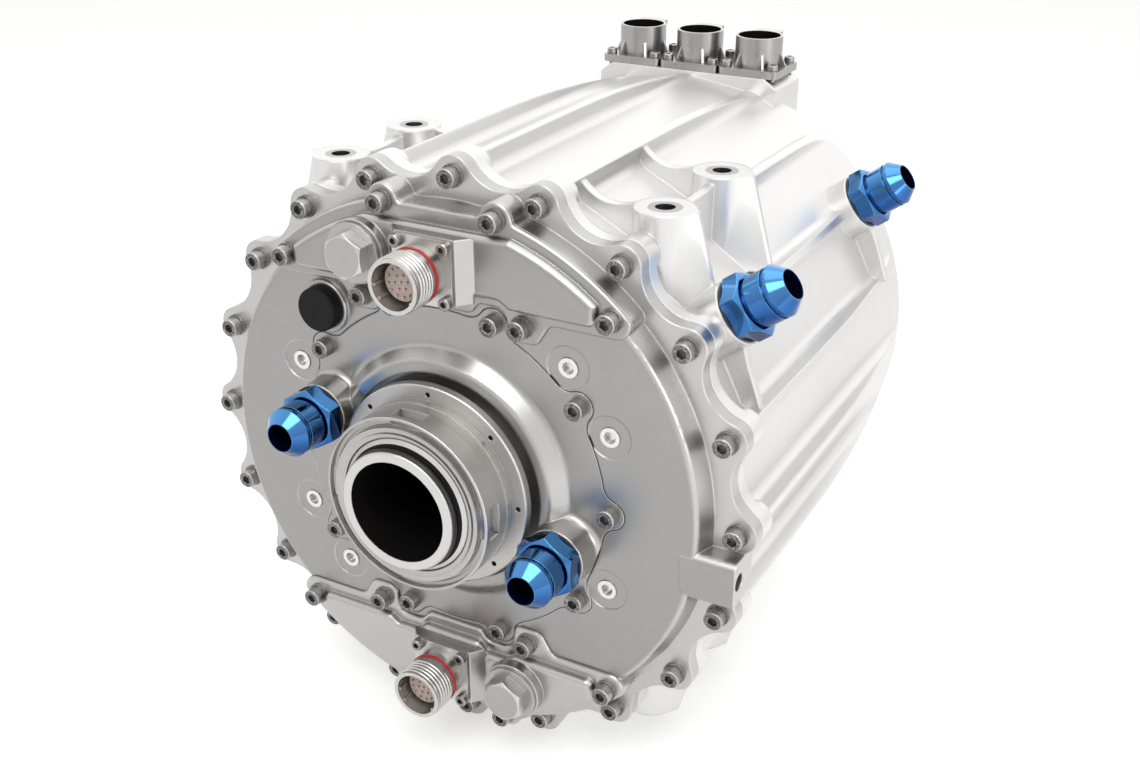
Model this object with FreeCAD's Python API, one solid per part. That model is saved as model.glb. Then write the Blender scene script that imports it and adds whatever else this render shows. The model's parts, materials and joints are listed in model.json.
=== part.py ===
"""Liquid-cooled electric car motor: ribbed housing, bolted covers, ports and a hollow output shaft.

Millimetres, Z up. The shaft runs along Y and the output end faces -Y. The origin lies on the
shaft axis, in the front face of the bolted flange.
"""
import FreeCAD, Part
import math
import os

os.makedirs("parts", exist_ok=True)
V = FreeCAD.Vector
ALONG = V(0, 1, 0)
CENTRE = V(0, 0, 0)

# How near a point counts as lying in a plane, and how far joined bodies run into each other
TOUCH = 0.001
JOIN = 1.0
EDGE = 0.8

# Socket-head screws, by thread size
M5_R = 2.5
M5_HEAD_R = 4.25
M5_HEAD_H = 5.0
M5_SOCKET = 4.0
M5_SOCKET_H = 2.6
M5_WASHER_R = 5.0
M5_WASHER_T = 1.0
M3_R = 1.5
M3_HEAD_R = 2.75
M3_HEAD_H = 3.0
M3_SOCKET = 2.5
M3_SOCKET_H = 1.6
M3_L = 6.0
HEAD_EDGE = 0.4
SCREW_GAP = 0.05
HOLE_EXTRA = 1.0
FLANGE_BOLT_L = 17.0
ACCESS_BOLT_L = 13.0
BEARING_BOLT_L = 15.0
REAR_BOLT_L = 16.0

# Housing shell, ribs and tail
RIB_CREST_R = 136.0
RIB_H = 10.7
RIB_T = 4.0
WALL_T = 13.3
ROOT_IN = 4.0
WEB_SPARE = 2.0
PANEL_R = RIB_CREST_R - RIB_H
PANEL_CORNER_R = 5.0
PANEL_END_ROUND = 3.0
CAVITY_R = PANEL_R - WALL_T
REAR_FACE_Y = 269.0
REAR_FACE_R = RIB_CREST_R - 30.0
SHOULDER_R = RIB_CREST_R - 13.0
SHOULDER_Y = REAR_FACE_Y - 11.7
TAPER_L = 84.5
TAPER_Y = SHOULDER_Y - TAPER_L
TAPER_ROUND = 850.0
SHOULDER_ROUND = 44.0
REAR_WALL_T = 33.0
REAR_WALL_Y = REAR_FACE_Y - REAR_WALL_T

# Bolted flange between the front cover and the housing
FLANGE_BOLTS = 20
FLANGE_PITCH_R = RIB_CREST_R - 5.0
FLANGE_LOBE_R = 8.5
FLANGE_SCALLOP_R = 19.5
COVER_FLANGE_T = 7.0
HOUSING_FLANGE_T = 7.0
LOBE_TAIL = 6.0
LOBE_TAIL_ROUND = 4.0

# Mounting bosses, on top and the same underneath
MOUNT_X = 80.5
MOUNT_FRONT_Y = 31.1
MOUNT_PITCH_Y = 57.8
MOUNT_FACE_Z = RIB_CREST_R - 14.4
MOUNT_BOSS_R = 13.0
INSERT_R = 7.0
INSERT_HOLE_R = 4.2
INSERT_DEPTH = 20.0
WEB_T = 4.0
WEB_DIP = 1.5
SADDLE_DIP = 4.0
SADDLE_ROOT = 12.0
WEB_TIP_X = MOUNT_X + 15.0
WEB_TIP_R = 2.3
MOUNT_FLARE = 1.5
WEB_FOOT_X = 0.801 * (RIB_CREST_R - 2.4)
WEB_FOOT_Z = 0.599 * (RIB_CREST_R - 2.4)

# Front cover
DISC_R = FLANGE_PITCH_R - 11.7
DISC_H = 10.7
DISC_WALL = 9.0
DISC_EDGE_ROUND = 3.0
DISC_LEAN = 1.7
SPIGOT_L = 5.0
SPIGOT_T = 7.0
SPIGOT_ROUND = 4.0
HUB_WALL = 12.0
HUB_LIP = 4.0
SCREW_BOSS_W = 14.0
SCREW_BOSS_H = 11.0
FIT_GAP = 0.05
PLUG_ANGLES = (46.7, 24.7, -25.4, 154.9, -155.4, -133.2)
PLUG_RECESS_R = 9.6
PLUG_RECESS_H = 0.5
PLUG_R = 4.4
PLUG_L = 5.0
PLUG_SOCKET_R = 2.6
PLUG_SOCKET_H = 2.5

# Bearing cover, let into the front cover
BEARING_COVER_R = 76.5
BEARING_LOBE_R = 6.8
BEARING_BLEND_R = 8.0
BEARING_BOLTS = 10
BEARING_PITCH_R = 78.7
BEARING_COVER_T = 8.0
COVER_GAP = 0.3
PLUG_PITCH_R = BEARING_PITCH_R + 7.4
SCREW_BOSS_R = BEARING_PITCH_R + SCREW_BOSS_W
SHOULDER_CREST_R = 54.0
SHOULDER_FOOT_R = 60.0
SHOULDER_H = 6.5
SHOULDER_BLEND = 3.5
SHOULDER_CREST_ROUND = 3.0
COVER_BORE_R = 49.2
COVER_BORE_DEPTH = 4.5

# Coolant ports
PORT_PITCH_R = 62.6
PORT_ANGLES = (-18.5, 161.5)
PORT_BOSS_R = 13.8
PORT_BOSS_H = 13.4
PORT_BLEND = 3.0
PORT_THREAD_R = 9.4
PORT_THREAD_L = 11.0
SEAL_R = 13.4
SEAL_T = 1.0
HEX_ACROSS = 25.4
HEX_T = 8.2
NECK_R = 9.9
NECK_L = 1.4
NOSE_R = 11.1
NOSE_L = 8.0
NOSE_GROOVE_R = 10.1
NOSE_GROOVE_L = 1.5
NOSE_RIM_L = 1.3
CONE_TIP_R = 6.7
CONE_L = 5.5
PORT_BORE_R = 6.2
SIDE_PORT_ANGLE = 36.0
SIDE_FRONT_IN = 31.0
SIDE_REAR_IN = 67.5
SIDE_PORTS = {
    "side_front_fitting": (SIDE_FRONT_IN, RIB_CREST_R + 5.3),
    "side_rear_fitting": (REAR_FACE_Y - SIDE_REAR_IN, RIB_CREST_R + 0.4),
}
SIDE_BOSS_R = 14.2

# Access covers, the upper one as drawn and the lower one turned half a turn about Y
ACCESS_BOLTS = ((79.0, DISC_R - 31.3), (39.0, BEARING_PITCH_R - 1.7), (27.0, DISC_R + 0.7))
ACCESS_LOBE_R = 7.4
ACCESS_HOLLOW_R = 3.0
ACCESS_CORNER_R = 4.5
ACCESS_RIM_H = 1.8
ACCESS_FIELD_H = 4.0
ACCESS_OUTER_R = DISC_R + 4.7
ACCESS_TOP_Z = DISC_R + 0.8
FIELD_OUTER_R = DISC_R - 0.3
FIELD_TOP_Z = DISC_R - 5.6
FIELD_END_X = ACCESS_BOLTS[0][0] - 5.5
FIELD_ROUND = 3.0
RIM_ROUND = 1.5
RIM_CLEAR = 1.3
RIM_LEAN = 1.5
RIM_SPARE = 1.0
RIM_BEND_R = 5.0
FIELD_STEP = 6.3
FIELD_RISE = 1.2
NOTCH_TOP = 11.0
NOTCH_FOOT = 20.0
NOTCH_H = 12.4
FIELD_BEND_R = 4.0
PAD_HALF = 14.5
CONNECTOR_Z = DISC_R - 21.3
PAD_LOW_Z = CONNECTOR_Z - 13.5
PAD_TOP_Z = CONNECTOR_Z + 14.5
PAD_H = 6.0
PAD_SLOPE = 5.0
WINDOW_W = 93.0
WINDOW_H = 15.0
WINDOW_CORNER_R = 6.0
WINDOW_RISE = 0.5
WINDOW_LEAN = 8.0

# Round signal connector
CONNECTOR_FLANGE = 28.5
CONNECTOR_FLANGE_T = 2.0
CONNECTOR_FLANGE_ROUND = 3.0
CONNECTOR_SCREW_PITCH = 23.0
CONNECTOR_R = 11.6
CONNECTOR_BORE_R = 9.9
CONNECTOR_L = 20.5
CONNECTOR_DEPTH = 13.0
INSERT_DISC_T = 2.0
BAND_R = 12.1
BAND_SEAT_R = 11.1
BAND_W = 1.2
BAND_Y = 7.0

# Hexagon plug in each access cover
HEX_FACE = 0.95
HEX_PLUG_X = -35.5
HEX_PLUG_Z = CONNECTOR_Z + 1.0
HEX_PLUG_ACROSS = 17.8
HEX_PLUG_H = 6.5
HEX_PLUG_RIM_R = 13.0
HEX_PLUG_RIM_T = 2.0
HEX_PLUG_BOSS_R = 14.0
HEX_PLUG_BOSS_H = 5.0

# Breather cap
CAP_X = -61.6
CAP_Z = 66.4
CAP_R = 10.0
CAP_H = 7.3
CAP_ROUND = 1.2
CAP_LIP_R = 12.3
CAP_LIP_H = 2.0

# Lifting lug on the edge of the front cover
LUG_OUT_X = FLANGE_PITCH_R + 4.2
LUG_IN_X = LUG_OUT_X - 24.3
LUG_TOP_Z = -7.7
LUG_LOW_Z = -27.5
LUG_PROUD = 0.5
LUG_ROUND = 3.5
LUG_LOW_ROUND = 4.5
LUG_HOLE_R = 4.0
LUG_HOLE_L = 16.0
LUG_HOLE_IN = 5.2

# Terminal box and phase sockets
BOX_HALF = 51.5
BOX_L = 34.0
BOX_REAR_Y = REAR_FACE_Y - 6.0
BOX_FRONT_Y = BOX_REAR_Y - BOX_L
BOX_TOP_Z = RIB_CREST_R - 7.3
BOX_CUT_W = 7.0
BOX_CUT_H = 5.25
BOX_EDGE = 1.5
BOX_ROOT_Z = BOX_TOP_Z - 33.7
SOCKET_PITCH = 34.1
SOCKET_Y = (BOX_FRONT_Y + BOX_REAR_Y) / 2
SOCKET_BASE_X = 33.6
SOCKET_BASE_Y = 33.0
SOCKET_BASE_T = 4.0
SOCKET_BASE_ROUND = 3.0
SOCKET_R = 12.5
SOCKET_BORE_R = 11.0
SOCKET_H = 15.3
SOCKET_FLOOR = 3.0
SOCKET_GUSSETS = 6
SOCKET_GUSSET_H = 7.0
SOCKET_GUSSET_W = 3.2
SOCKET_GUSSET_T = 1.4
SOCKET_TAB_W = 15.0
SOCKET_TAB_T = 2.5
SOCKET_TAB_ROUND = 2.0
SOCKET_SCREW_X = 12.9
SOCKET_SCREW_Y = 12.4
CONTACT_R = 4.0
CONTACT_H = 8.0
COLLAR_R = 6.5
COLLAR_H = 4.0

# Output shaft and what sits on it
SHAFT_BORE_R = 23.1
SHAFT_BORE_L = 120.0
SHAFT_TIP_Y = -51.3
TIP_R = 27.3
NECK_SHAFT_R = 27.6
GROOVE_R = 25.2
GROOVE_Y = -50.0
GROOVE_W = 3.2
ORING_R = 27.9
ORING_GAP = 0.2
ORING_ROUND = 1.2
THREAD_R = 30.9
THREAD_Y = -44.1
THREAD_CONE = 2.0
DRIVE_DISC_R = 47.0
DRIVE_DISC_Y = -24.7
DRIVE_DISC_T = 4.0
DRIVE_HOLES = 8
DRIVE_HOLE_PITCH_R = 43.0
DRIVE_HOLE_R = 1.2
COLLAR_SHAFT_R = 39.6
COLLAR_STEP_R = 40.3
COLLAR_STEP_L = 4.0
LOCK_Y = -34.0
LOCK_R = 40.3
LOCK_RIDGE_W = 1.2
LOCK_FACE_Y = -44.7
LOCK_SLOTS = 4
LOCK_SLOT_W = 15.0
LOCK_SLOT_R = 35.6
LOCK_SLOT_L = 8.0
LOCK_RECESS = 3.0
LOCK_GAP = 0.4
LOCK_DISH = 0.3
LOCK_UNDERCUT = 1.5
BEARING_SEAT_R = 35.0
CORE_SEAT_R = 38.0
CORE_SHOULDER_R = 42.0
CORE_SHOULDER_W = 8.0
CORE_SPARE = 4.0
REAR_STEP = 3.0
REAR_STOP_IN = 12.0
SHAFT_STEP_ROUND = 2.0
DRILL_TIP = 8.0

# Bearings: bore radius is the seat, rollers run between the races
BEARING_W = 20.0
RING_T = 5.0
ROLLER_R = 5.0
ROLLER_COUNT = 10
ROLLER_L = 14.0
RUNNING_GAP = 0.08
CAGE_T = 3.0
CAGE_RIM = 1.5
CAGE_POCKET_GAP = 0.15
REAR_SEAT_R = 25.0
REAR_BEARING_W = 16.0
REAR_BEARING_Y = REAR_WALL_Y + 4.0
REAR_SEAL_W = 16.0
REAR_ROLLER_L = 10.0
SEAL_SEAT_R = 46.0
SEAL_W = 7.0
SEAL_SPARE = 1.0
SEAL_STOP = 4.0

# Active parts
CORE_FRONT_Y = 50.0
CORE_REAR_Y = REAR_WALL_Y - 31.0
SLEEVE_T = 8.0
SLEEVE_R = CAVITY_R - SLEEVE_T
SLEEVE_FRONT_Y = COVER_FLANGE_T + 7.0
SLEEVE_REAR_Y = REAR_WALL_Y - 4.0
STATOR_T = 32.0
STATOR_BORE_R = SLEEVE_R - STATOR_T
TOOTH_TIP = 4.0
WINDING_R = STATOR_BORE_R + TOOTH_TIP
WINDING_OUT_R = SLEEVE_R - 3.0
WINDING_L = 24.0
WINDING_EDGE = 5.0
AIR_GAP = 0.8
POLES = 8
MAGNET_W = 34.0
MAGNET_T = 6.0
MAGNET_IN = 12.0
MAGNET_R = STATOR_BORE_R - MAGNET_IN
END_PLATE_T = 4.0
END_PLATE_IN = 4.0
END_PLATE_R = STATOR_BORE_R - END_PLATE_IN
RESOLVER_SEAT_R = 18.0
RESOLVER_ROTOR_R = 27.0
RESOLVER_BORE_R = 28.0
RESOLVER_W = 7.0
RESOLVER_GAP = 0.5

# Rear cover
REAR_COVER_R = 60.0
REAR_COVER_T = 7.0
REAR_COVER_ROUND = 2.0
REAR_BOLTS = 8
REAR_PITCH_R = 53.0

FACE_Y = -DISC_H
JOINT_Y = COVER_FLANGE_T
HOUSING_BACK_Y = JOINT_Y + HOUSING_FLANGE_T
BEARING_Y = FACE_Y + BEARING_COVER_T
FRONT_OUTER_R = BEARING_SEAT_R + 2 * RING_T + 2 * ROLLER_R
REAR_OUTER_R = REAR_SEAT_R + 2 * RING_T + 2 * ROLLER_R
RIM_Y = FACE_Y - ACCESS_RIM_H
FIELD_Y = RIM_Y - ACCESS_FIELD_H
PAD_Y = FIELD_Y - PAD_H
PORT_FACE_Y = FACE_Y - PORT_BOSS_H
MOUNT_YS = (MOUNT_FRONT_Y, MOUNT_FRONT_Y + MOUNT_PITCH_Y)
CORE_R = STATOR_BORE_R - AIR_GAP


def polar(r, degrees, y=0.0):
    """Point at radius r and an angle from +X towards +Z, at height y along the shaft."""
    a = math.radians(degrees)
    return V(r * math.cos(a), y, r * math.sin(a))


def steps(count):
    """Angles of an even pattern of count places, from +X."""
    return [360.0 * k / count for k in range(count)]


def rounded_wire(corners):
    """Closed outline through the corners (point, radius), each rounded by its radius."""
    starts = []
    arcs = []
    ends = []
    for k, (point, radius) in enumerate(corners):
        back = (corners[k - 1][0] - point).normalize()
        ahead = (corners[(k + 1) % len(corners)][0] - point).normalize()
        half = back.getAngle(ahead) / 2
        run = radius / math.tan(half)
        middle = V(back + ahead).normalize() * (radius / math.sin(half) - radius)
        starts.append(point + back * run)
        arcs.append(point + middle)
        ends.append(point + ahead * run)
    edges = []
    for k, (point, radius) in enumerate(corners):
        if radius > 0:
            edges.append(Part.Arc(starts[k], arcs[k], ends[k]).toShape())
        edges.append(Part.makeLine(ends[k], starts[(k + 1) % len(corners)]))
    return Part.Wire(edges)


def prism(outline, y0, y1):
    """Plate between y0 and y1 with an outline of (x, z, corner radius)."""
    wire = rounded_wire([(V(x, y0, z), r) for x, z, r in outline])
    return Part.Face(wire).extrude(V(0, y1 - y0, 0))


def turned(profile):
    """Body of revolution about the Y axis, from a profile of (r, y, corner radius)."""
    wire = rounded_wire([(V(r, y, 0), round_r) for r, y, round_r in profile])
    return Part.Face(wire).revolve(CENTRE, ALONG, 360)


def disc(r, y0, y1, x=0.0, z=0.0):
    """Solid cylinder along Y."""
    return Part.makeCylinder(r, y1 - y0, V(x, y0, z), ALONG)


def ring(r_out, r_in, y0, y1):
    """Plain ring round the shaft axis."""
    return turned([(r_in, y0, 0), (r_out, y0, 0), (r_out, y1, 0), (r_in, y1, 0)])


def hexagon(across, y0, y1):
    """Hexagonal bar along Y, with two corners on the Z axis."""
    corner_r = across / math.sqrt(3)
    return prism([(polar(corner_r, a + 30).x, polar(corner_r, a + 30).z, 0) for a in steps(6)], y0, y1)


def hexagon_head(across, y0, y1):
    """Hexagon with its corners turned off at 30 degrees on the y0 face."""
    corner_r = across / math.sqrt(3)
    flat_r = across / 2 * HEX_FACE
    slope = (corner_r - flat_r) * math.tan(math.radians(30))
    cone = turned([(0, y0, 0), (flat_r, y0, 0), (corner_r, y0 + slope, 0), (corner_r, y1, 0), (0, y1, 0)])
    return hexagon(across, y0, y1).common(cone)


def spun(shape, degrees):
    """The same shape turned about the shaft axis, from +X towards +Z."""
    turned_shape = shape.copy()
    turned_shape.rotate(CENTRE, ALONG, -degrees)
    return turned_shape


def moved(shape, x=0.0, y=0.0, z=0.0):
    """A copy of the shape, moved."""
    copy = shape.copy()
    copy.translate(V(x, y, z))
    return copy


def fused(shapes):
    """One solid from shapes that overlap."""
    return shapes[0].multiFuse(shapes[1:]).removeSplitter()


def save(node, shapes):
    """Write one node as a STEP file."""
    if len(shapes) == 1:
        shape = shapes[0]
    else:
        shape = Part.makeCompound(shapes)
    shape.exportStep(os.path.join("parts", node + ".step"))


def lobed_face(base_r, lobe_r, pitch_r, count, blend_r, y):
    """Round plate outline with a lobe at each bolt and hollow blends back to the base circle."""
    reach = base_r + blend_r
    blend_reach = lobe_r + blend_r
    spread = (pitch_r ** 2 + reach ** 2 - blend_reach ** 2) / (2 * pitch_r * reach)
    offset = math.degrees(math.acos(spread))
    gap = 360.0 / count
    edges = []
    for a in steps(count):
        lobe = polar(pitch_r, a, y)
        foot_in = polar(base_r, a - offset, y)
        foot_out = polar(base_r, a + offset, y)
        hollow_in = polar(reach, a - offset, y)
        hollow_out = polar(reach, a + offset, y)
        side_in = lobe + (hollow_in - lobe) * (lobe_r / blend_reach)
        side_out = lobe + (hollow_out - lobe) * (lobe_r / blend_reach)
        edges.append(hollow_arc(hollow_in, blend_r, foot_in, side_in))
        edges.append(Part.Arc(side_in, polar(pitch_r + lobe_r, a, y), side_out).toShape())
        edges.append(hollow_arc(hollow_out, blend_r, side_out, foot_out))
        next_foot = polar(base_r, a + gap - offset, y)
        edges.append(Part.Arc(foot_out, polar(base_r, a + gap / 2, y), next_foot).toShape())
    return Part.Face(Part.Wire(edges))


def scalloped_face(lobe_r, pitch_r, count, scallop_r, y):
    """Flange outline of lobes joined by one hollow arc in each gap."""
    half = math.radians(180.0 / count)
    reach = lobe_r + scallop_r
    hollow_at = pitch_r * math.cos(half) + math.sqrt(reach ** 2 - (pitch_r * math.sin(half)) ** 2)
    gap = 360.0 / count
    edges = []
    for a in steps(count):
        lobe = polar(pitch_r, a, y)
        hollow_in = polar(hollow_at, a - gap / 2, y)
        hollow_out = polar(hollow_at, a + gap / 2, y)
        side_in = lobe + (hollow_in - lobe) * (lobe_r / reach)
        side_out = lobe + (hollow_out - lobe) * (lobe_r / reach)
        next_lobe = polar(pitch_r, a + gap, y)
        next_side = next_lobe + (hollow_out - next_lobe) * (lobe_r / reach)
        edges.append(Part.Arc(side_in, polar(pitch_r + lobe_r, a, y), side_out).toShape())
        edges.append(hollow_arc(hollow_out, scallop_r, side_out, next_side))
    return Part.Face(Part.Wire(edges))


def hollow_arc(centre, r, start, end):
    """Short arc about the centre, from start to end."""
    middle = centre + (start + end - centre * 2).normalize() * r
    return Part.Arc(start, middle, end).toShape()


def flange_plate(y0, y1):
    """Scalloped flange with a lobe at each flange bolt."""
    face = scalloped_face(FLANGE_LOBE_R, FLANGE_PITCH_R, FLANGE_BOLTS, FLANGE_SCALLOP_R, y0)
    return face.extrude(V(0, y1 - y0, 0))


def screw(head_r, head_h, socket, socket_h, shank_r, length, washer_r=0.0, washer_t=0.0):
    """Socket-head screw pointing along +Y, seated on y = 0, with a captive washer if it has one."""
    top = -head_h - washer_t
    seat = [(head_r, 0, 0)]
    if washer_t > 0:
        seat = [(head_r, -washer_t, 0), (washer_r, -washer_t, 0), (washer_r, 0, 0)]
    head = [(0, top, 0), (head_r - HEAD_EDGE, top, 0), (head_r, top + HEAD_EDGE, 0)]
    shank = [(shank_r, 0, 0), (shank_r, length, 0), (0, length, 0)]
    return turned(head + seat + shank).cut(hexagon(socket, top, top + socket_h))


def m5_screw(length):
    return screw(M5_HEAD_R, M5_HEAD_H, M5_SOCKET, M5_SOCKET_H, M5_R, length)


def m5_washer_screw(length):
    return screw(M5_HEAD_R, M5_HEAD_H, M5_SOCKET, M5_SOCKET_H, M5_R, length, M5_WASHER_R, M5_WASHER_T)


def m3_screw():
    return screw(M3_HEAD_R, M3_HEAD_H, M3_SOCKET, M3_SOCKET_H, M3_R, M3_L)


def screw_hole(thread_r, length, x, y, z):
    """Hole along Y for a screw seated at y."""
    return disc(thread_r + SCREW_GAP, y, y + length + HOLE_EXTRA, x, z)


def flange_places():
    return [polar(FLANGE_PITCH_R, a) for a in steps(FLANGE_BOLTS)]


def flange_bolts():
    bolt = m5_washer_screw(FLANGE_BOLT_L)
    return [moved(bolt, p.x, 0, p.z) for p in flange_places()]


def flange_holes():
    return [screw_hole(M5_R, FLANGE_BOLT_L, p.x, 0, p.z) for p in flange_places()]


def access_places(side):
    """Bolt places of the upper (side 1) or lower (side -1) access cover."""
    return [(sx * x, side * z) for x, z in ACCESS_BOLTS for sx in (1, -1)]


def access_outline():
    """Rim outline: it steps round the bearing cover's lobes and bulges at its own bolts."""
    bolt_x, bolt_z = ACCESS_BOLTS[1]
    end_x, end_z = ACCESS_BOLTS[0]
    lobe = polar(BEARING_PITCH_R, 72)
    clear = BEARING_LOBE_R + RIM_CLEAR
    low_z = BEARING_COVER_R + RIM_CLEAR
    end_low_z = end_z - ACCESS_LOBE_R - RIM_SPARE
    right = [
        (lobe.x - clear - RIM_LEAN, low_z, ACCESS_HOLLOW_R),
        (lobe.x - clear + RIM_LEAN, lobe.z + clear, RIM_BEND_R),
        (lobe.x + clear - RIM_LEAN, lobe.z + clear, RIM_BEND_R),
        (bolt_x - ACCESS_LOBE_R, bolt_z - ACCESS_LOBE_R, RIM_BEND_R),
        (bolt_x + ACCESS_LOBE_R - RIM_SPARE, bolt_z - ACCESS_LOBE_R, RIM_BEND_R),
        (bolt_x + ACCESS_LOBE_R + RIM_BEND_R, end_low_z, RIM_BEND_R),
        (end_x + ACCESS_LOBE_R + RIM_SPARE, end_low_z, ACCESS_LOBE_R),
        (end_x + ACCESS_LOBE_R + RIM_SPARE, ACCESS_TOP_Z, 0),
    ]
    return right + [(-x, z, r) for x, z, r in reversed(right)]


def access_base(y0, y1):
    """Plate with the rim outline of the upper access cover, between y0 and y1."""
    lobe_x, lobe_z = ACCESS_BOLTS[2]
    plate = prism(access_outline(), y0, y1).common(disc(ACCESS_OUTER_R, y0, y1))
    lobes = [disc(ACCESS_LOBE_R, y0, y1, sx * lobe_x, lobe_z) for sx in (1, -1)]
    front = [f for f in fused([plate] + lobes).Faces if all(abs(v.Y - y0) < TOUCH for v in f.Vertexes)]
    filled = front[0].OuterWire.makeOffset2D(ACCESS_HOLLOW_R).makeOffset2D(-ACCESS_HOLLOW_R)
    eased = filled.makeOffset2D(-ACCESS_CORNER_R).makeOffset2D(ACCESS_CORNER_R)
    return Part.Face(eased).extrude(V(0, y1 - y0, 0))


def field_outline():
    """Raised field: its lower edge steps round the bearing cover bolts."""
    lobe = polar(BEARING_PITCH_R, 72)
    low_z = BEARING_COVER_R + FIELD_STEP
    high_z = lobe.z + NOTCH_H
    right = [
        (lobe.x - NOTCH_FOOT / 2, low_z, FIELD_BEND_R),
        (lobe.x - NOTCH_TOP / 2, high_z, FIELD_BEND_R),
        (lobe.x + NOTCH_TOP / 2, high_z, FIELD_BEND_R),
        (lobe.x + NOTCH_FOOT / 2, low_z + FIELD_RISE, FIELD_BEND_R),
        (FIELD_END_X, low_z + FIELD_RISE, FIELD_BEND_R),
        (FIELD_END_X, FIELD_TOP_Z, 0),
    ]
    return right + [(-x, z, r) for x, z, r in reversed(right)]


def edges_at(shape, y, x=None, z=None):
    """Edges of a shape that lie in the plane at y, and also at x or z where one is given."""
    found = []
    for edge in shape.Edges:
        gaps = [v.Y - y for v in edge.Vertexes]
        if x is not None:
            gaps += [v.X - x for v in edge.Vertexes]
        if z is not None:
            gaps += [v.Z - z for v in edge.Vertexes]
        if all(abs(gap) < TOUCH for gap in gaps):
            found.append(edge)
    return found


def access_cover():
    """Cast cover: rim, raised field, connector pad and the boss of the hexagon plug."""
    rim = access_base(RIM_Y, FACE_Y)
    rim = rim.makeFillet(RIM_ROUND, edges_at(rim, RIM_Y))
    field = prism(field_outline(), FIELD_Y, RIM_Y).common(disc(FIELD_OUTER_R, FIELD_Y, RIM_Y))
    field = field.makeFillet(FIELD_ROUND, edges_at(field, FIELD_Y))
    pad_wide = PAD_HALF + PAD_SLOPE
    pad_side = [
        V(-pad_wide, FIELD_Y, PAD_LOW_Z),
        V(-PAD_HALF, PAD_Y, PAD_LOW_Z),
        V(PAD_HALF, PAD_Y, PAD_LOW_Z),
        V(pad_wide, FIELD_Y, PAD_LOW_Z),
    ]
    pad_face = Part.Face(Part.makePolygon(pad_side + [pad_side[0]]))
    pad = pad_face.extrude(V(0, 0, PAD_TOP_Z - PAD_LOW_Z))
    boss = disc(HEX_PLUG_BOSS_R, FIELD_Y - HEX_PLUG_BOSS_H, FIELD_Y, HEX_PLUG_X, HEX_PLUG_Z)
    cover = fused([rim, field, pad, boss])
    cuts = [disc(CONNECTOR_BORE_R, PAD_Y, FACE_Y, 0, CONNECTOR_Z)]
    cuts += [screw_hole(M5_R, ACCESS_BOLT_L, x, RIM_Y, z) for x, z in access_places(1)]
    flange_y = PAD_Y - CONNECTOR_FLANGE_T
    cuts += [screw_hole(M3_R, M3_L, x, flange_y, z) for x, z in connector_screw_places()]
    return cover.cut(cuts)


def connector_shell():
    """Square flange and barrel of the round connector, open to the front."""
    half = CONNECTOR_FLANGE / 2
    square = [(half, half), (half, -half), (-half, -half), (-half, half)]
    outline = [(x, z, CONNECTOR_FLANGE_ROUND) for x, z in square]
    flange_y = PAD_Y - CONNECTOR_FLANGE_T
    flange = prism(outline, flange_y, PAD_Y)
    barrel = disc(CONNECTOR_R, flange_y - CONNECTOR_L, flange_y)
    mouth_y = flange_y - CONNECTOR_L
    hollow = disc(CONNECTOR_BORE_R, mouth_y, mouth_y + CONNECTOR_DEPTH + INSERT_DISC_T)
    groove = ring(CONNECTOR_R + 1, BAND_SEAT_R, flange_y - BAND_Y, flange_y - BAND_Y + BAND_W)
    shell = moved(fused([flange, barrel]).cut([hollow, groove]), 0, 0, CONNECTOR_Z)
    return shell.cut([screw_hole(M3_R, M3_L, x, flange_y, z) for x, z in connector_screw_places()])


def connector_insert():
    """Contact disc at the bottom of the connector's barrel."""
    mouth_y = PAD_Y - CONNECTOR_FLANGE_T - CONNECTOR_L
    face_y = mouth_y + CONNECTOR_DEPTH
    return disc(CONNECTOR_BORE_R, face_y, face_y + INSERT_DISC_T, 0, CONNECTOR_Z)


def connector_band():
    """Coloured ring in the groove of the barrel."""
    band_y = PAD_Y - CONNECTOR_FLANGE_T - BAND_Y
    return moved(ring(BAND_R, BAND_SEAT_R, band_y, band_y + BAND_W), 0, 0, CONNECTOR_Z)


def connector_screw_places():
    """Places of the four screws in the connector's square flange."""
    half = CONNECTOR_SCREW_PITCH / 2
    return [(sx * half, CONNECTOR_Z + sz * half) for sx in (1, -1) for sz in (1, -1)]


def connector_screws():
    face_y = PAD_Y - CONNECTOR_FLANGE_T
    return [moved(m3_screw(), x, face_y, z) for x, z in connector_screw_places()]


def hex_plug():
    """Hexagon plug with a round rim."""
    seat_y = FIELD_Y - HEX_PLUG_BOSS_H
    rim = disc(HEX_PLUG_RIM_R, seat_y - HEX_PLUG_RIM_T, seat_y)
    head = hexagon_head(HEX_PLUG_ACROSS, seat_y - HEX_PLUG_RIM_T - HEX_PLUG_H, seat_y - HEX_PLUG_RIM_T)
    return moved(fused([rim, head]), HEX_PLUG_X, 0, HEX_PLUG_Z)


def fitting():
    """Cone-nosed coolant fitting along -Y, its seal seated on y = 0 and its thread behind it."""
    hex_y = -SEAL_T
    neck_y = hex_y - HEX_T
    nose_y = neck_y - NECK_L
    groove_y = nose_y - NOSE_L
    rim_y = groove_y - NOSE_GROOVE_L
    cone_y = rim_y - NOSE_RIM_L
    body = turned([
        (PORT_BORE_R, cone_y - CONE_L, 0),
        (CONE_TIP_R, cone_y - CONE_L, 0),
        (NOSE_R, cone_y, 0),
        (NOSE_R, rim_y, 0),
        (NOSE_GROOVE_R, rim_y, 0),
        (NOSE_GROOVE_R, groove_y, 0),
        (NOSE_R, groove_y, 0),
        (NOSE_R, nose_y, 0),
        (NECK_R, nose_y, 0),
        (NECK_R, neck_y, 0),
        (PORT_THREAD_R, neck_y, 0),
        (PORT_THREAD_R, PORT_THREAD_L, 0),
        (PORT_BORE_R, PORT_THREAD_L, 0),
    ])
    nut = hexagon_head(HEX_ACROSS, neck_y, hex_y).cut(disc(PORT_THREAD_R, neck_y, hex_y))
    return fused([body, nut])


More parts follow.
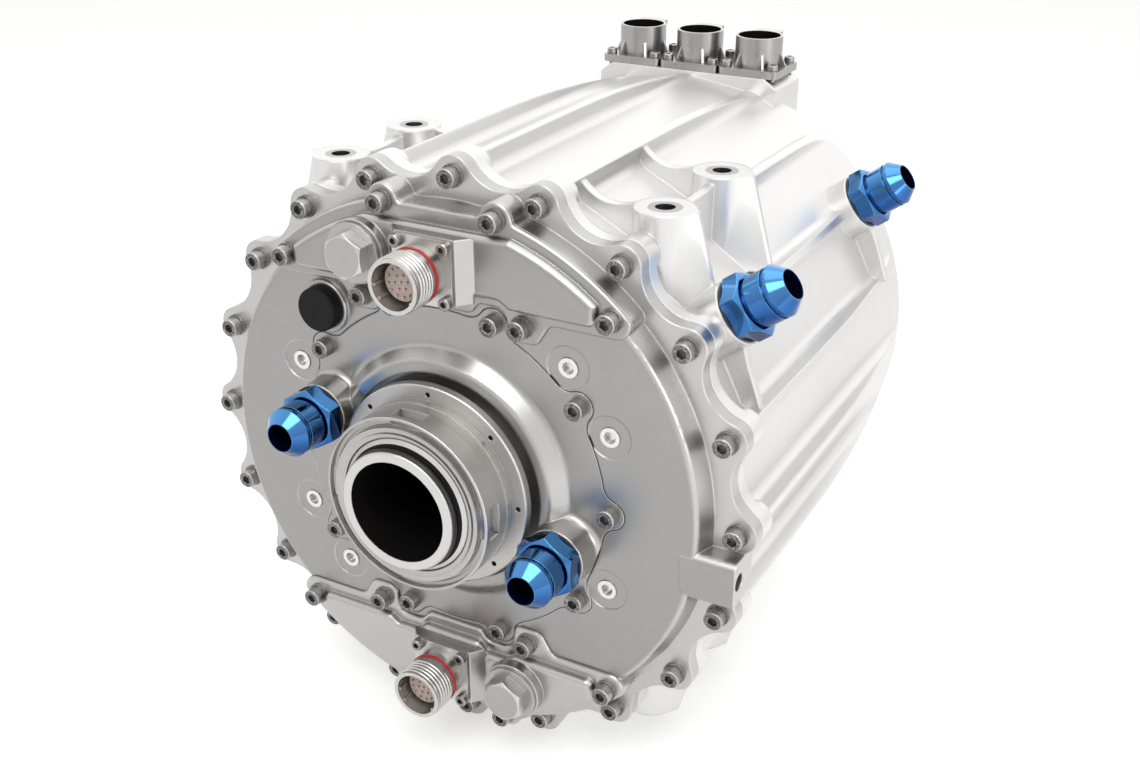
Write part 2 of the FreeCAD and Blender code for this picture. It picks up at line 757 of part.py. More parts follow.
def fitting_seal():
    """Dark sealing ring under the hexagon."""
    return ring(SEAL_R, PORT_THREAD_R, -SEAL_T, 0)


def at_front_port(shape, degrees):
    """Place a fitting part on a port boss of the bearing cover."""
    place = polar(PORT_PITCH_R, degrees)
    return moved(shape, place.x, PORT_FACE_Y, place.z)


def at_side_port(shape, y, seat_r):
    """Place a fitting part on a radial boss of the housing."""
    side = shape.copy()
    side.rotate(CENTRE, V(0, 0, 1), 90)
    return moved(spun(moved(side, seat_r), SIDE_PORT_ANGLE), 0, y, 0)


def breather_cap():
    """Round cap with a soft edge."""
    top_y = FACE_Y - CAP_H
    cap = turned([(0, top_y, 0), (CAP_R, top_y, CAP_ROUND), (CAP_R, FACE_Y, 0), (0, FACE_Y, 0)])
    return moved(cap, CAP_X, 0, CAP_Z)


def cover_plug():
    """Round plug with a socket, flush with its recess."""
    seat_y = FACE_Y + PLUG_RECESS_H
    plug = disc(PLUG_R, seat_y - PLUG_RECESS_H, seat_y + PLUG_L)
    return plug.cut(disc(PLUG_SOCKET_R, seat_y - PLUG_RECESS_H, seat_y - PLUG_RECESS_H + PLUG_SOCKET_H))


def lug():
    """Lifting lug: a block at the rim, a little proud of the disc, with a threaded hole from the side."""
    front_y = FACE_Y - LUG_PROUD
    outline = [
        (LUG_IN_X, LUG_LOW_Z, LUG_LOW_ROUND),
        (LUG_OUT_X, LUG_LOW_Z, 0),
        (LUG_OUT_X, LUG_TOP_Z, 0),
        (LUG_IN_X, LUG_TOP_Z, 0),
    ]
    block = prism(outline, front_y, JOINT_Y)
    block = block.makeFillet(LUG_ROUND, edges_at(block, front_y, z=LUG_TOP_Z))
    hole_z = (LUG_TOP_Z + LUG_LOW_Z) / 2
    hole_at = V(LUG_OUT_X - LUG_HOLE_L, front_y + LUG_HOLE_IN, hole_z)
    return block, Part.makeCylinder(LUG_HOLE_R, LUG_HOLE_L, hole_at, V(1, 0, 0))


def front_cover():
    """Round cover with its scalloped flange, access cover seats, bearing hub and spigot."""
    inner_y = FACE_Y + DISC_WALL
    hub_r = FRONT_OUTER_R + HUB_WALL
    hub_back = BEARING_Y + BEARING_W + HUB_LIP
    shell = turned([
        (FRONT_OUTER_R - RING_T, FACE_Y, 0),
        (DISC_R - DISC_LEAN, FACE_Y, DISC_EDGE_ROUND),
        (DISC_R + DISC_LEAN, 0, 0),
        (DISC_R + DISC_LEAN, JOINT_Y, 0),
        (CAVITY_R - FIT_GAP, JOINT_Y, 0),
        (CAVITY_R - FIT_GAP, JOINT_Y + SPIGOT_L, 0),
        (CAVITY_R - SPIGOT_T, JOINT_Y + SPIGOT_L, 0),
        (CAVITY_R - SPIGOT_T, inner_y, SPIGOT_ROUND),
        (hub_r, inner_y, 0),
        (hub_r, hub_back, 0),
        (FRONT_OUTER_R - RING_T, hub_back, 0),
    ])
    screw_boss = ring(SCREW_BOSS_R, hub_r - JOIN, inner_y - JOIN, BEARING_Y + SCREW_BOSS_H)
    flange = flange_plate(0, JOINT_Y).cut(disc(CAVITY_R, 0, JOINT_Y))
    seat = access_base(FACE_Y, 0)
    lug_block, lug_hole = lug()
    lip = turned([
        (0, FACE_Y - CAP_LIP_H, 0),
        (CAP_LIP_R, FACE_Y - CAP_LIP_H, EDGE),
        (CAP_LIP_R, FACE_Y + JOIN, 0),
        (0, FACE_Y + JOIN, 0),
    ])
    body = fused([shell, screw_boss, flange, seat, spun(seat, 180), lug_block, moved(lip, CAP_X, 0, CAP_Z)])
    window = prism(window_outline(), FACE_Y, JOINT_Y)
    pocket = bearing_outline(COVER_GAP).extrude(V(0, BEARING_COVER_T, 0))
    cuts = [
        pocket,
        disc(FRONT_OUTER_R, BEARING_Y, BEARING_Y + BEARING_W),
        window,
        spun(window, 180),
        lug_hole,
        disc(CAP_R, FACE_Y - CAP_LIP_H, FACE_Y, CAP_X, CAP_Z),
    ]
    cuts += flange_holes()
    for p in bearing_places():
        cuts.append(screw_hole(M5_R, BEARING_BOLT_L, p.x, FACE_Y, p.z))
    for side in (1, -1):
        cuts += [screw_hole(M5_R, ACCESS_BOLT_L, x, RIM_Y, z) for x, z in access_places(side)]
    for a in PLUG_ANGLES:
        place = polar(PLUG_PITCH_R, a)
        cuts.append(disc(PLUG_RECESS_R, FACE_Y, FACE_Y + PLUG_RECESS_H, place.x, place.z))
        cuts.append(disc(PLUG_R, FACE_Y, FACE_Y + PLUG_RECESS_H + PLUG_L, place.x, place.z))
    return body.cut(cuts)


def window_outline():
    """Opening under an access cover."""
    half = WINDOW_W / 2
    low_z = CONNECTOR_Z - WINDOW_H / 2 + WINDOW_RISE
    high_z = low_z + WINDOW_H
    right = [(half, low_z, WINDOW_CORNER_R), (half - WINDOW_LEAN, high_z, WINDOW_CORNER_R)]
    return right + [(-x, z, r) for x, z, r in reversed(right)]


def bearing_outline(gap):
    """Wavy outline of the bearing cover, or of its pocket with a gap all round."""
    base_r = BEARING_COVER_R + gap
    blend_r = BEARING_BLEND_R - gap
    return lobed_face(base_r, BEARING_LOBE_R + gap, BEARING_PITCH_R, BEARING_BOLTS, blend_r, FACE_Y)


def bearing_cover():
    """Flush cover with a shoulder round the shaft and two port bosses."""
    plate = bearing_outline(0).extrude(V(0, BEARING_COVER_T, 0))
    shoulder = turned([
        (0, FACE_Y - SHOULDER_H, 0),
        (SHOULDER_CREST_R, FACE_Y - SHOULDER_H, SHOULDER_CREST_ROUND),
        (SHOULDER_FOOT_R, FACE_Y, SHOULDER_BLEND),
        (SHOULDER_FOOT_R + SHOULDER_BLEND, FACE_Y, 0),
        (SHOULDER_FOOT_R + SHOULDER_BLEND, FACE_Y + JOIN, 0),
        (0, FACE_Y + JOIN, 0),
    ])
    boss = turned([
        (0, PORT_FACE_Y, 0),
        (PORT_BOSS_R, PORT_FACE_Y, HEAD_EDGE),
        (PORT_BOSS_R, FACE_Y, PORT_BLEND),
        (PORT_BOSS_R + PORT_BLEND + JOIN, FACE_Y, 0),
        (PORT_BOSS_R + PORT_BLEND + JOIN, FACE_Y + JOIN, 0),
        (0, FACE_Y + JOIN, 0),
    ])
    places = [polar(PORT_PITCH_R, a) for a in PORT_ANGLES]
    inside = bearing_outline(0).extrude(V(0, FACE_Y + JOIN - PORT_FACE_Y, 0))
    inside.translate(V(0, PORT_FACE_Y - FACE_Y, 0))
    body = fused([plate, shoulder] + [moved(boss, p.x, 0, p.z).common(inside) for p in places])
    seal_y = BEARING_Y - SEAL_W - SEAL_SPARE
    cuts = [
        disc(COVER_BORE_R, PORT_FACE_Y, FACE_Y - SHOULDER_H + COVER_BORE_DEPTH),
        disc(SEAL_SEAT_R, FACE_Y - SHOULDER_H, seal_y + SEAL_W),
        disc(SEAL_SEAT_R - SEAL_STOP, seal_y, BEARING_Y),
    ]
    cuts += [disc(PORT_THREAD_R, PORT_FACE_Y, PORT_FACE_Y + PORT_THREAD_L, p.x, p.z) for p in places]
    cuts += [screw_hole(M5_R, BEARING_BOLT_L, p.x, FACE_Y, p.z) for p in bearing_places()]
    return body.cut(cuts)


def bearing_places():
    return [polar(BEARING_PITCH_R, a) for a in steps(BEARING_BOLTS)]


def bearing_cover_bolts():
    return [moved(m5_screw(BEARING_BOLT_L), p.x, FACE_Y, p.z) for p in bearing_places()]


def access_cover_bolts():
    bolt = m5_washer_screw(ACCESS_BOLT_L)
    return [moved(bolt, x, RIM_Y, z) for side in (1, -1) for x, z in access_places(side)]


def rib_envelope():
    """Body of revolution through the rib crests, with the tapered tail."""
    return turned([
        (0, HOUSING_BACK_Y, 0),
        (RIB_CREST_R, HOUSING_BACK_Y, 0),
        (RIB_CREST_R, TAPER_Y, TAPER_ROUND),
        (SHOULDER_R, SHOULDER_Y, SHOULDER_ROUND),
        (REAR_FACE_R, REAR_FACE_Y, 0),
        (0, REAR_FACE_Y, 0),
    ])


def panel_tool():
    """Cutter for the flat panel between two ribs, centred on +X, with walls along the ribs."""
    half_gap = math.radians(180.0 / FLANGE_BOLTS)
    half_rib = RIB_T / 2
    deep = (PANEL_R - half_rib * math.sin(half_gap)) / math.cos(half_gap)
    far = RIB_CREST_R + 10
    low_z = deep * math.sin(half_gap) - half_rib * math.cos(half_gap)
    high_x = far * math.cos(half_gap) + half_rib * math.sin(half_gap)
    high_z = far * math.sin(half_gap) - half_rib * math.cos(half_gap)
    outline = [
        (PANEL_R, -low_z, PANEL_CORNER_R),
        (high_x, -high_z, 0),
        (high_x, high_z, 0),
        (PANEL_R, low_z, PANEL_CORNER_R),
    ]
    tool = prism(outline, HOUSING_BACK_Y, REAR_FACE_Y + 10)
    return tool.makeFillet(PANEL_END_ROUND, edges_at(tool, HOUSING_BACK_Y, x=PANEL_R))


def teardrop(z, r, tip_x):
    """Level outline round a mounting boss on y = 0, drawn out to a narrow tip on its outer side."""
    tip = tip_x - WEB_TIP_R
    lean = math.acos((r - WEB_TIP_R) / (tip - MOUNT_X))
    across = math.cos(lean)
    along = math.sin(lean)
    low = V(MOUNT_X + r * across, -r * along, z)
    high = V(MOUNT_X + r * across, r * along, z)
    tip_low = V(tip + WEB_TIP_R * across, -WEB_TIP_R * along, z)
    tip_high = V(tip + WEB_TIP_R * across, WEB_TIP_R * along, z)
    return Part.Wire([
        Part.Arc(high, V(MOUNT_X - r, 0, z), low).toShape(),
        Part.makeLine(low, tip_low),
        Part.Arc(tip_low, V(tip_x, 0, z), tip_high).toShape(),
        Part.makeLine(tip_high, high),
    ])


def mount_boss(y):
    """Mounting boss that spreads towards its foot and runs out to an edge on its outer side."""
    top = teardrop(MOUNT_FACE_Z, MOUNT_BOSS_R, WEB_TIP_X)
    foot = teardrop(WEB_FOOT_Z, MOUNT_BOSS_R + MOUNT_FLARE, WEB_FOOT_X)
    return moved(Part.makeLoft([foot, top], True, True), 0, y, 0)


def mount_web(y):
    """Web round the housing at a mounting boss: from the rib above it down to the port's rib."""
    crest = polar(RIB_CREST_R, 72)
    inner = polar(CAVITY_R + ROOT_IN, 72)
    foot = polar(CAVITY_R + ROOT_IN, 36)
    y0 = y - WEB_T / 2
    dip = V((crest.x + MOUNT_X) / 2, y0, MOUNT_FACE_Z - WEB_DIP)
    boss_side = V(MOUNT_X - MOUNT_BOSS_R, y0, MOUNT_FACE_Z)
    toe = V(WEB_FOOT_X - WEB_SPARE / 2, y0, WEB_FOOT_Z + WEB_SPARE)
    edges = [
        Part.Arc(V(crest.x, y0, crest.z), dip, boss_side).toShape(),
        Part.makeLine(boss_side, V(MOUNT_X, y0, MOUNT_FACE_Z)),
        Part.makeLine(V(MOUNT_X, y0, MOUNT_FACE_Z), toe),
        Part.makeLine(toe, V(foot.x, y0, foot.z)),
        Part.Arc(V(foot.x, y0, foot.z), polar(CAVITY_R + ROOT_IN, 54, y0), V(inner.x, y0, inner.z)).toShape(),
        Part.makeLine(V(inner.x, y0, inner.z), V(crest.x, y0, crest.z)),
    ]
    return Part.Face(Part.Wire(edges)).extrude(V(0, WEB_T, 0))


def mount_saddle():
    """Wall along the shaft between the two bosses of one side, a little lower in the middle."""
    front_y, rear_y = MOUNT_YS
    x0 = MOUNT_X - WEB_T / 2
    dip = V(x0, (front_y + rear_y) / 2, MOUNT_FACE_Z - SADDLE_DIP)
    root_z = WEB_FOOT_Z + SADDLE_ROOT
    edges = [
        Part.Arc(V(x0, front_y, MOUNT_FACE_Z), dip, V(x0, rear_y, MOUNT_FACE_Z)).toShape(),
        Part.makeLine(V(x0, rear_y, MOUNT_FACE_Z), V(x0, rear_y, root_z)),
        Part.makeLine(V(x0, rear_y, root_z), V(x0, front_y, root_z)),
        Part.makeLine(V(x0, front_y, root_z), V(x0, front_y, MOUNT_FACE_Z)),
    ]
    return Part.Face(Part.Wire(edges)).extrude(V(WEB_T, 0, 0))


def port_web(y, seat_r):
    """Web from a radial port boss down to the next rib."""
    upper = polar(seat_r, SIDE_PORT_ANGLE)
    middle = polar(RIB_CREST_R - WEB_SPARE / 2, SIDE_PORT_ANGLE * 0.75)
    lower = polar(RIB_CREST_R - WEB_SPARE, SIDE_PORT_ANGLE / 2)
    root_up = polar(CAVITY_R + ROOT_IN, SIDE_PORT_ANGLE)
    root_low = polar(CAVITY_R + ROOT_IN, SIDE_PORT_ANGLE / 2)
    y0 = y - WEB_T / 2
    ring_points = [V(p.x, y0, p.z) for p in (root_up, upper, middle, lower, root_low)]
    return Part.Face(Part.makePolygon(ring_points + [ring_points[0]])).extrude(V(0, WEB_T, 0))


def terminal_box():
    """Box cast on the tail for the phase sockets."""
    cut_z = BOX_TOP_Z - BOX_CUT_H
    outline = [
        (-BOX_HALF, BOX_ROOT_Z, 0),
        (-BOX_HALF, cut_z, BOX_EDGE),
        (BOX_CUT_W - BOX_HALF, BOX_TOP_Z, BOX_EDGE),
        (BOX_HALF - BOX_CUT_W, BOX_TOP_Z, BOX_EDGE),
        (BOX_HALF, cut_z, BOX_EDGE),
        (BOX_HALF, BOX_ROOT_Z, 0),
    ]
    return prism(outline, BOX_FRONT_Y, BOX_REAR_Y)


def main_housing():
    """Cast housing: ribbed and tapered shell with its flange, bosses, webs and terminal box."""
    shell = rib_envelope().cut([spun(panel_tool(), a + 180.0 / FLANGE_BOLTS) for a in steps(FLANGE_BOLTS)])
    additions = [flange_plate(JOINT_Y, HOUSING_BACK_Y), terminal_box()]
    tail = turned([
        (0, HOUSING_BACK_Y - JOIN, 0),
        (FLANGE_LOBE_R, HOUSING_BACK_Y - JOIN, 0),
        (FLANGE_LOBE_R, HOUSING_BACK_Y + LOBE_TAIL, LOBE_TAIL_ROUND),
        (0, HOUSING_BACK_Y + LOBE_TAIL, 0),
    ])
    additions += [spun(moved(tail, FLANGE_PITCH_R), a) for a in steps(FLANGE_BOLTS)]
    quarter = []
    for y in MOUNT_YS:
        quarter.append(mount_boss(y))
        quarter.append(mount_web(y))
    quarter.append(mount_saddle())
    for piece in quarter:
        left = piece.mirror(CENTRE, V(1, 0, 0))
        additions += [piece, left]
        additions += [piece.mirror(CENTRE, V(0, 0, 1)), left.mirror(CENTRE, V(0, 0, 1))]
    root_r = CAVITY_R + ROOT_IN
    for y, seat_r in SIDE_PORTS.values():
        root = Part.makeCylinder(SIDE_BOSS_R, seat_r - root_r, V(root_r, 0, 0), V(1, 0, 0))
        additions.append(moved(spun(root, SIDE_PORT_ANGLE), 0, y, 0))
        additions.append(port_web(y, seat_r))
    body = fused([shell] + additions)
    cuts = [
        disc(CAVITY_R, JOINT_Y, REAR_WALL_Y),
        disc(REAR_SEAT_R + REAR_STOP_IN, REAR_WALL_Y, REAR_FACE_Y),
        disc(REAR_OUTER_R, REAR_BEARING_Y, REAR_FACE_Y),
    ]
    for y in MOUNT_YS:
        for x in (MOUNT_X, -MOUNT_X):
            cuts.append(Part.makeCylinder(INSERT_R, INSERT_DEPTH, V(x, y, MOUNT_FACE_Z - INSERT_DEPTH)))
            cuts.append(Part.makeCylinder(INSERT_R, INSERT_DEPTH, V(x, y, -MOUNT_FACE_Z)))
    for y, seat_r in SIDE_PORTS.values():
        thread = disc(PORT_THREAD_R, 0, PORT_THREAD_L)
        cuts.append(at_side_port(thread, y, seat_r))
    cuts += flange_holes() + terminal_holes()
    rear_y = REAR_FACE_Y + REAR_COVER_T - REAR_BOLT_L - HOLE_EXTRA
    cuts += [disc(M5_R + SCREW_GAP, rear_y, REAR_FACE_Y, p.x, p.z) for p in rear_places()]
    return body.cut(cuts)


def mount_inserts():
    """Threaded inserts in the mounting bosses."""
    inserts = []
    for y in MOUNT_YS:
        for x in (MOUNT_X, -MOUNT_X):
            for z in (MOUNT_FACE_Z - INSERT_DEPTH, -MOUNT_FACE_Z):
                body = Part.makeCylinder(INSERT_R, INSERT_DEPTH, V(x, y, z))
                inserts.append(body.cut(Part.makeCylinder(INSERT_HOLE_R, INSERT_DEPTH, V(x, y, z))))
    return inserts


def phase_socket():
    """Round phase socket with its square base and corner gussets, centred on x = 0."""
    half_x = SOCKET_BASE_X / 2
    half_y = SOCKET_BASE_Y / 2
    base = Part.makeBox(SOCKET_BASE_X, SOCKET_BASE_Y, SOCKET_BASE_T, V(-half_x, -half_y, 0))
    base = base.makeFillet(SOCKET_BASE_ROUND, [e for e in base.Edges if e.Length == SOCKET_BASE_T])
    top_z = SOCKET_BASE_T + SOCKET_H
    cup = Part.makeCylinder(SOCKET_R, SOCKET_H, V(0, 0, SOCKET_BASE_T))
    tab = Part.makeBox(SOCKET_TAB_W, half_y, SOCKET_TAB_T, V(-SOCKET_TAB_W / 2, 0, top_z - SOCKET_TAB_T))
    tab = tab.makeFillet(SOCKET_TAB_ROUND, [e for e in tab.Edges if upright_at(e, half_y)])
    parts = [base, cup, tab]
    for a in steps(SOCKET_GUSSETS):
        outer = SOCKET_R + SOCKET_GUSSET_W
        corners = [
            V(SOCKET_R - JOIN, 0, SOCKET_BASE_T),
            V(outer, 0, SOCKET_BASE_T),
            V(SOCKET_R, 0, SOCKET_BASE_T + SOCKET_GUSSET_H),
            V(SOCKET_R - JOIN, 0, SOCKET_BASE_T + SOCKET_GUSSET_H),
        ]
        gusset = Part.Face(Part.makePolygon(corners + [corners[0]])).extrude(V(0, SOCKET_GUSSET_T, 0))
        gusset.translate(V(0, -SOCKET_GUSSET_T / 2, 0))
        gusset.rotate(CENTRE, V(0, 0, 1), a)
        parts.append(gusset)
    body = fused(parts)
    hollow = Part.makeCylinder(SOCKET_BORE_R, top_z - SOCKET_FLOOR, V(0, 0, SOCKET_FLOOR))
    holes = []
    for x, y in socket_screw_places():
        holes.append(Part.makeCylinder(M3_R + SCREW_GAP, SOCKET_BASE_T, V(x, y, 0)))
    return moved(body.cut([hollow] + holes), 0, SOCKET_Y, BOX_TOP_Z)


def upright_at(edge, y):
    """Whether an edge is straight up and lies at y."""
    ends = [v.Point for v in edge.Vertexes]
    return abs(ends[0].z - ends[1].z) > TOUCH and abs(ends[0].y - y) < TOUCH


def socket_screw_places():
    """Places of the four screws of a phase socket, from its centre."""
    return [(sx * SOCKET_SCREW_X, sy * SOCKET_SCREW_Y) for sx in (1, -1) for sy in (1, -1)]


def terminal_places():
    """Places of all twelve socket screws on the terminal box."""
    spots = socket_screw_places()
    return [(k * SOCKET_PITCH + x, SOCKET_Y + y) for k in (-1, 0, 1) for x, y in spots]


def terminal_holes():
    """Screw holes in the top of the terminal box."""
    depth = M3_L - SOCKET_BASE_T + HOLE_EXTRA
    low_z = BOX_TOP_Z - depth
    return [Part.makeCylinder(M3_R + SCREW_GAP, depth, V(x, y, low_z)) for x, y in terminal_places()]


def phase_contact():
    """Contact pin on the floor of a phase socket."""
    z = BOX_TOP_Z + SOCKET_FLOOR
    return Part.makeCylinder(CONTACT_R, CONTACT_H, V(0, SOCKET_Y, z))


def phase_insulator():
    """Insulating collar round a contact pin."""
    z = BOX_TOP_Z + SOCKET_FLOOR
    collar = Part.makeCylinder(COLLAR_R, COLLAR_H, V(0, SOCKET_Y, z))
    return collar.cut(Part.makeCylinder(CONTACT_R, COLLAR_H, V(0, SOCKET_Y, z)))


def terminal_screws():
    """Screws that hold the phase sockets, pointing down."""
    down = m3_screw()
    down.rotate(CENTRE, V(1, 0, 0), -90)
    return [moved(down, x, y, BOX_TOP_Z + SOCKET_BASE_T) for x, y in terminal_places()]


def rotor_shaft():
    """Hollow shaft: blind bore, O-ring groove, threaded nose, bearing seats and core seat."""
    groove_back = GROOVE_Y + GROOVE_W
    disc_back = DRIVE_DISC_Y + DRIVE_DISC_T
    front_seat_back = BEARING_Y + BEARING_W
    rear_seat_back = REAR_BEARING_Y + REAR_BEARING_W
    shoulder_y = CORE_FRONT_Y - END_PLATE_T
    return turned([
        (SHAFT_BORE_R, SHAFT_TIP_Y, 0),
        (TIP_R, SHAFT_TIP_Y, EDGE),
        (TIP_R, GROOVE_Y, 0),
        (GROOVE_R, GROOVE_Y, 0),
        (GROOVE_R, groove_back, 0),
        (NECK_SHAFT_R, groove_back, 0),
        (NECK_SHAFT_R, THREAD_Y - THREAD_CONE, 0),
        (THREAD_R, THREAD_Y, 0),
        (THREAD_R, disc_back, 0),
        (BEARING_SEAT_R, disc_back, 0),
        (BEARING_SEAT_R, front_seat_back, 0),
        (CORE_SEAT_R, front_seat_back, 0),
        (CORE_SEAT_R, shoulder_y - CORE_SHOULDER_W, 0),
        (CORE_SHOULDER_R, shoulder_y - CORE_SHOULDER_W, 0),
        (CORE_SHOULDER_R, shoulder_y, 0),
        (CORE_SEAT_R, shoulder_y, 0),
        (CORE_SEAT_R, CORE_REAR_Y + END_PLATE_T + CORE_SPARE, SHAFT_STEP_ROUND),
        (REAR_SEAT_R + REAR_STEP, REAR_BEARING_Y - REAR_SEAL_W, SHAFT_STEP_ROUND),
        (REAR_SEAT_R + REAR_STEP, REAR_BEARING_Y, 0),
        (REAR_SEAT_R, REAR_BEARING_Y, 0),
        (REAR_SEAT_R, rear_seat_back, 0),
        (RESOLVER_SEAT_R, rear_seat_back, 0),
        (RESOLVER_SEAT_R, rear_seat_back + RESOLVER_W + EDGE, EDGE),
        (0, rear_seat_back + RESOLVER_W + EDGE, 0),
        (0, SHAFT_TIP_Y + SHAFT_BORE_L + DRILL_TIP, 0),
        (SHAFT_BORE_R, SHAFT_TIP_Y + SHAFT_BORE_L, 0),
    ])


def shaft_oring():
    """O-ring in the groove of the shaft tip, with a round outer side."""
    y0 = GROOVE_Y + ORING_GAP
    y1 = GROOVE_Y + GROOVE_W - ORING_GAP
    outer = [(ORING_R, y0, ORING_ROUND), (ORING_R, y1, ORING_ROUND)]
    return turned([(GROOVE_R, y0, 0)] + outer + [(GROOVE_R, y1, 0)])


def shaft_flange():
    """Drive disc with eight holes and the stepped collar in front of it."""
    back_y = DRIVE_DISC_Y + DRIVE_DISC_T
    body = turned([
        (THREAD_R, LOCK_Y, 0),
        (COLLAR_SHAFT_R, LOCK_Y, 0),
        (COLLAR_SHAFT_R, DRIVE_DISC_Y - COLLAR_STEP_L, 0),
        (COLLAR_STEP_R, DRIVE_DISC_Y - COLLAR_STEP_L, 0),
        (COLLAR_STEP_R, DRIVE_DISC_Y, 0),
        (DRIVE_DISC_R, DRIVE_DISC_Y, EDGE),
        (DRIVE_DISC_R, back_y, 0),
        (THREAD_R, back_y, 0),
    ])
    places = [polar(DRIVE_HOLE_PITCH_R, a) for a in steps(DRIVE_HOLES)]
    return body.cut([disc(DRIVE_HOLE_R, DRIVE_DISC_Y, back_y, p.x, p.z) for p in places])


def lock_ring():
    """Ring nut with four slots, a rim and a recess in its face."""
    back_y = LOCK_Y - LOCK_GAP
    body = turned([
        (THREAD_R, LOCK_FACE_Y, 0),
        (LOCK_SLOT_R, LOCK_FACE_Y - LOCK_DISH, 0),
        (LOCK_SLOT_R, LOCK_FACE_Y + LOCK_RECESS, 0),
        (LOCK_R - LOCK_RIDGE_W, LOCK_FACE_Y + LOCK_RECESS, 0),
        (LOCK_R - LOCK_RIDGE_W, LOCK_FACE_Y, 0),
        (LOCK_R, LOCK_FACE_Y, HEAD_EDGE),
        (LOCK_R, back_y, 0),
        (COLLAR_SHAFT_R - LOCK_UNDERCUT, back_y, 0),
        (COLLAR_SHAFT_R - LOCK_UNDERCUT, LOCK_Y, 0),
        (THREAD_R, LOCK_Y, 0),
    ])
    depth = LOCK_R + JOIN - LOCK_SLOT_R
    corner = V(LOCK_SLOT_R, LOCK_Y - LOCK_SLOT_L, -LOCK_SLOT_W / 2)
    slot = Part.makeBox(depth, LOCK_SLOT_L, LOCK_SLOT_W, corner)
    return body.cut([spun(slot, a) for a in steps(LOCK_SLOTS)])


def bearing(seat_r, y0, width, roller_l):
    """Inner ring, outer ring, rollers and cage of a roller bearing on a seat."""
    inner_race = seat_r + RING_T
    outer_race = inner_race + 2 * ROLLER_R
    pitch_r = inner_race + ROLLER_R
    roller_y = y0 + (width - roller_l) / 2
    inner = ring(inner_race, seat_r, y0, y0 + width)
    outer = ring(outer_race + RING_T, outer_race, y0, y0 + width)
    places = [polar(pitch_r, a) for a in steps(ROLLER_COUNT)]
    rollers = [disc(ROLLER_R - RUNNING_GAP, roller_y, roller_y + roller_l, p.x, p.z) for p in places]
    cage_back = roller_y + roller_l + CAGE_RIM
    cage = ring(pitch_r + CAGE_T / 2, pitch_r - CAGE_T / 2, roller_y - CAGE_RIM, cage_back)
    pocket_r = ROLLER_R + CAGE_POCKET_GAP
    cage = cage.cut([disc(pocket_r, roller_y, roller_y + roller_l, p.x, p.z) for p in places])
    return inner, outer, rollers, cage


def magnet():
    """One magnet block, lying in the core on +X."""
    corner = V(MAGNET_R - MAGNET_T / 2, CORE_FRONT_Y, -MAGNET_W / 2)
    return Part.makeBox(MAGNET_T, CORE_REAR_Y - CORE_FRONT_Y, MAGNET_W, corner)


def winding_end(core_y, out_y):
    """End turns of the stator winding at one end of the core, as one ring with sloped edges."""
    edge_y = out_y + math.copysign(WINDING_EDGE, core_y - out_y)
    return turned([
        (WINDING_R, core_y, 0),
        (WINDING_OUT_R, core_y, 0),
        (WINDING_OUT_R, edge_y, 0),
        (WINDING_OUT_R - WINDING_EDGE, out_y, 0),
        (WINDING_R + WINDING_EDGE, out_y, 0),
        (WINDING_R, edge_y, 0),
    ])


def rear_cover():
    """Plate that closes the rear bearing seat."""
    back_y = REAR_FACE_Y + REAR_COVER_T
    rim = [(REAR_COVER_R, REAR_FACE_Y, 0), (REAR_COVER_R, back_y, REAR_COVER_ROUND)]
    holes = [disc(M5_R + SCREW_GAP, REAR_FACE_Y, back_y, p.x, p.z) for p in rear_places()]
    return turned([(0, REAR_FACE_Y, 0)] + rim + [(0, back_y, 0)]).cut(holes)


def rear_places():
    return [polar(REAR_PITCH_R, a + 180.0 / REAR_BOLTS) for a in steps(REAR_BOLTS)]


def rear_cover_bolts():
    """Screws of the rear cover, pointing forward."""
    bolt = m5_screw(REAR_BOLT_L)
    bolt.rotate(CENTRE, V(0, 0, 1), 180)
    return [moved(bolt, p.x, REAR_FACE_Y + REAR_COVER_T, p.z) for p in rear_places()]


save("main_housing", [main_housing()])
save("front_cover", [front_cover()])
save("bearing_cover", [bearing_cover()])
save("flange_bolts", flange_bolts())
save("bearing_cover_bolts", bearing_cover_bolts())
save("access_cover_bolts", access_cover_bolts())

for side, turn in (("upper", 0), ("lower", 180)):
    save(side + "_access_cover", [spun(access_cover(), turn)])
    save(side + "_connector_shell", [spun(connector_shell(), turn)])
    save(side + "_connector_insert", [spun(connector_insert(), turn)])
    save(side + "_hex_plug", [spun(hex_plug(), turn)])
save("connector_bands", [spun(connector_band(), turn) for turn in (0, 180)])
save("connector_screws", [spun(screw, turn) for turn in (0, 180) for screw in connector_screws()])
save("breather_cap", [breather_cap()])

plug_places = [polar(PLUG_PITCH_R, a) for a in PLUG_ANGLES]
save("cover_plugs", [moved(cover_plug(), p.x, 0, p.z) for p in plug_places])

seals = []
for name, angle in (("front_right_fitting", PORT_ANGLES[0]), ("front_left_fitting", PORT_ANGLES[1])):
    save(name, [at_front_port(fitting(), angle)])
    seals.append(at_front_port(fitting_seal(), angle))
for name, (port_y, seat) in SIDE_PORTS.items():
    save(name, [at_side_port(fitting(), port_y, seat)])
    seals.append(at_side_port(fitting_seal(), port_y, seat))
save("fitting_seals", seals)

for name, place in (("left", -1), ("middle", 0), ("right", 1)):
    save("phase_socket_" + name, [moved(phase_socket(), place * SOCKET_PITCH)])
save("phase_contacts", [moved(phase_contact(), k * SOCKET_PITCH) for k in (-1, 0, 1)])
save("phase_insulators", [moved(phase_insulator(), k * SOCKET_PITCH) for k in (-1, 0, 1)])
save("terminal_screws", terminal_screws())
save("mount_inserts", mount_inserts())

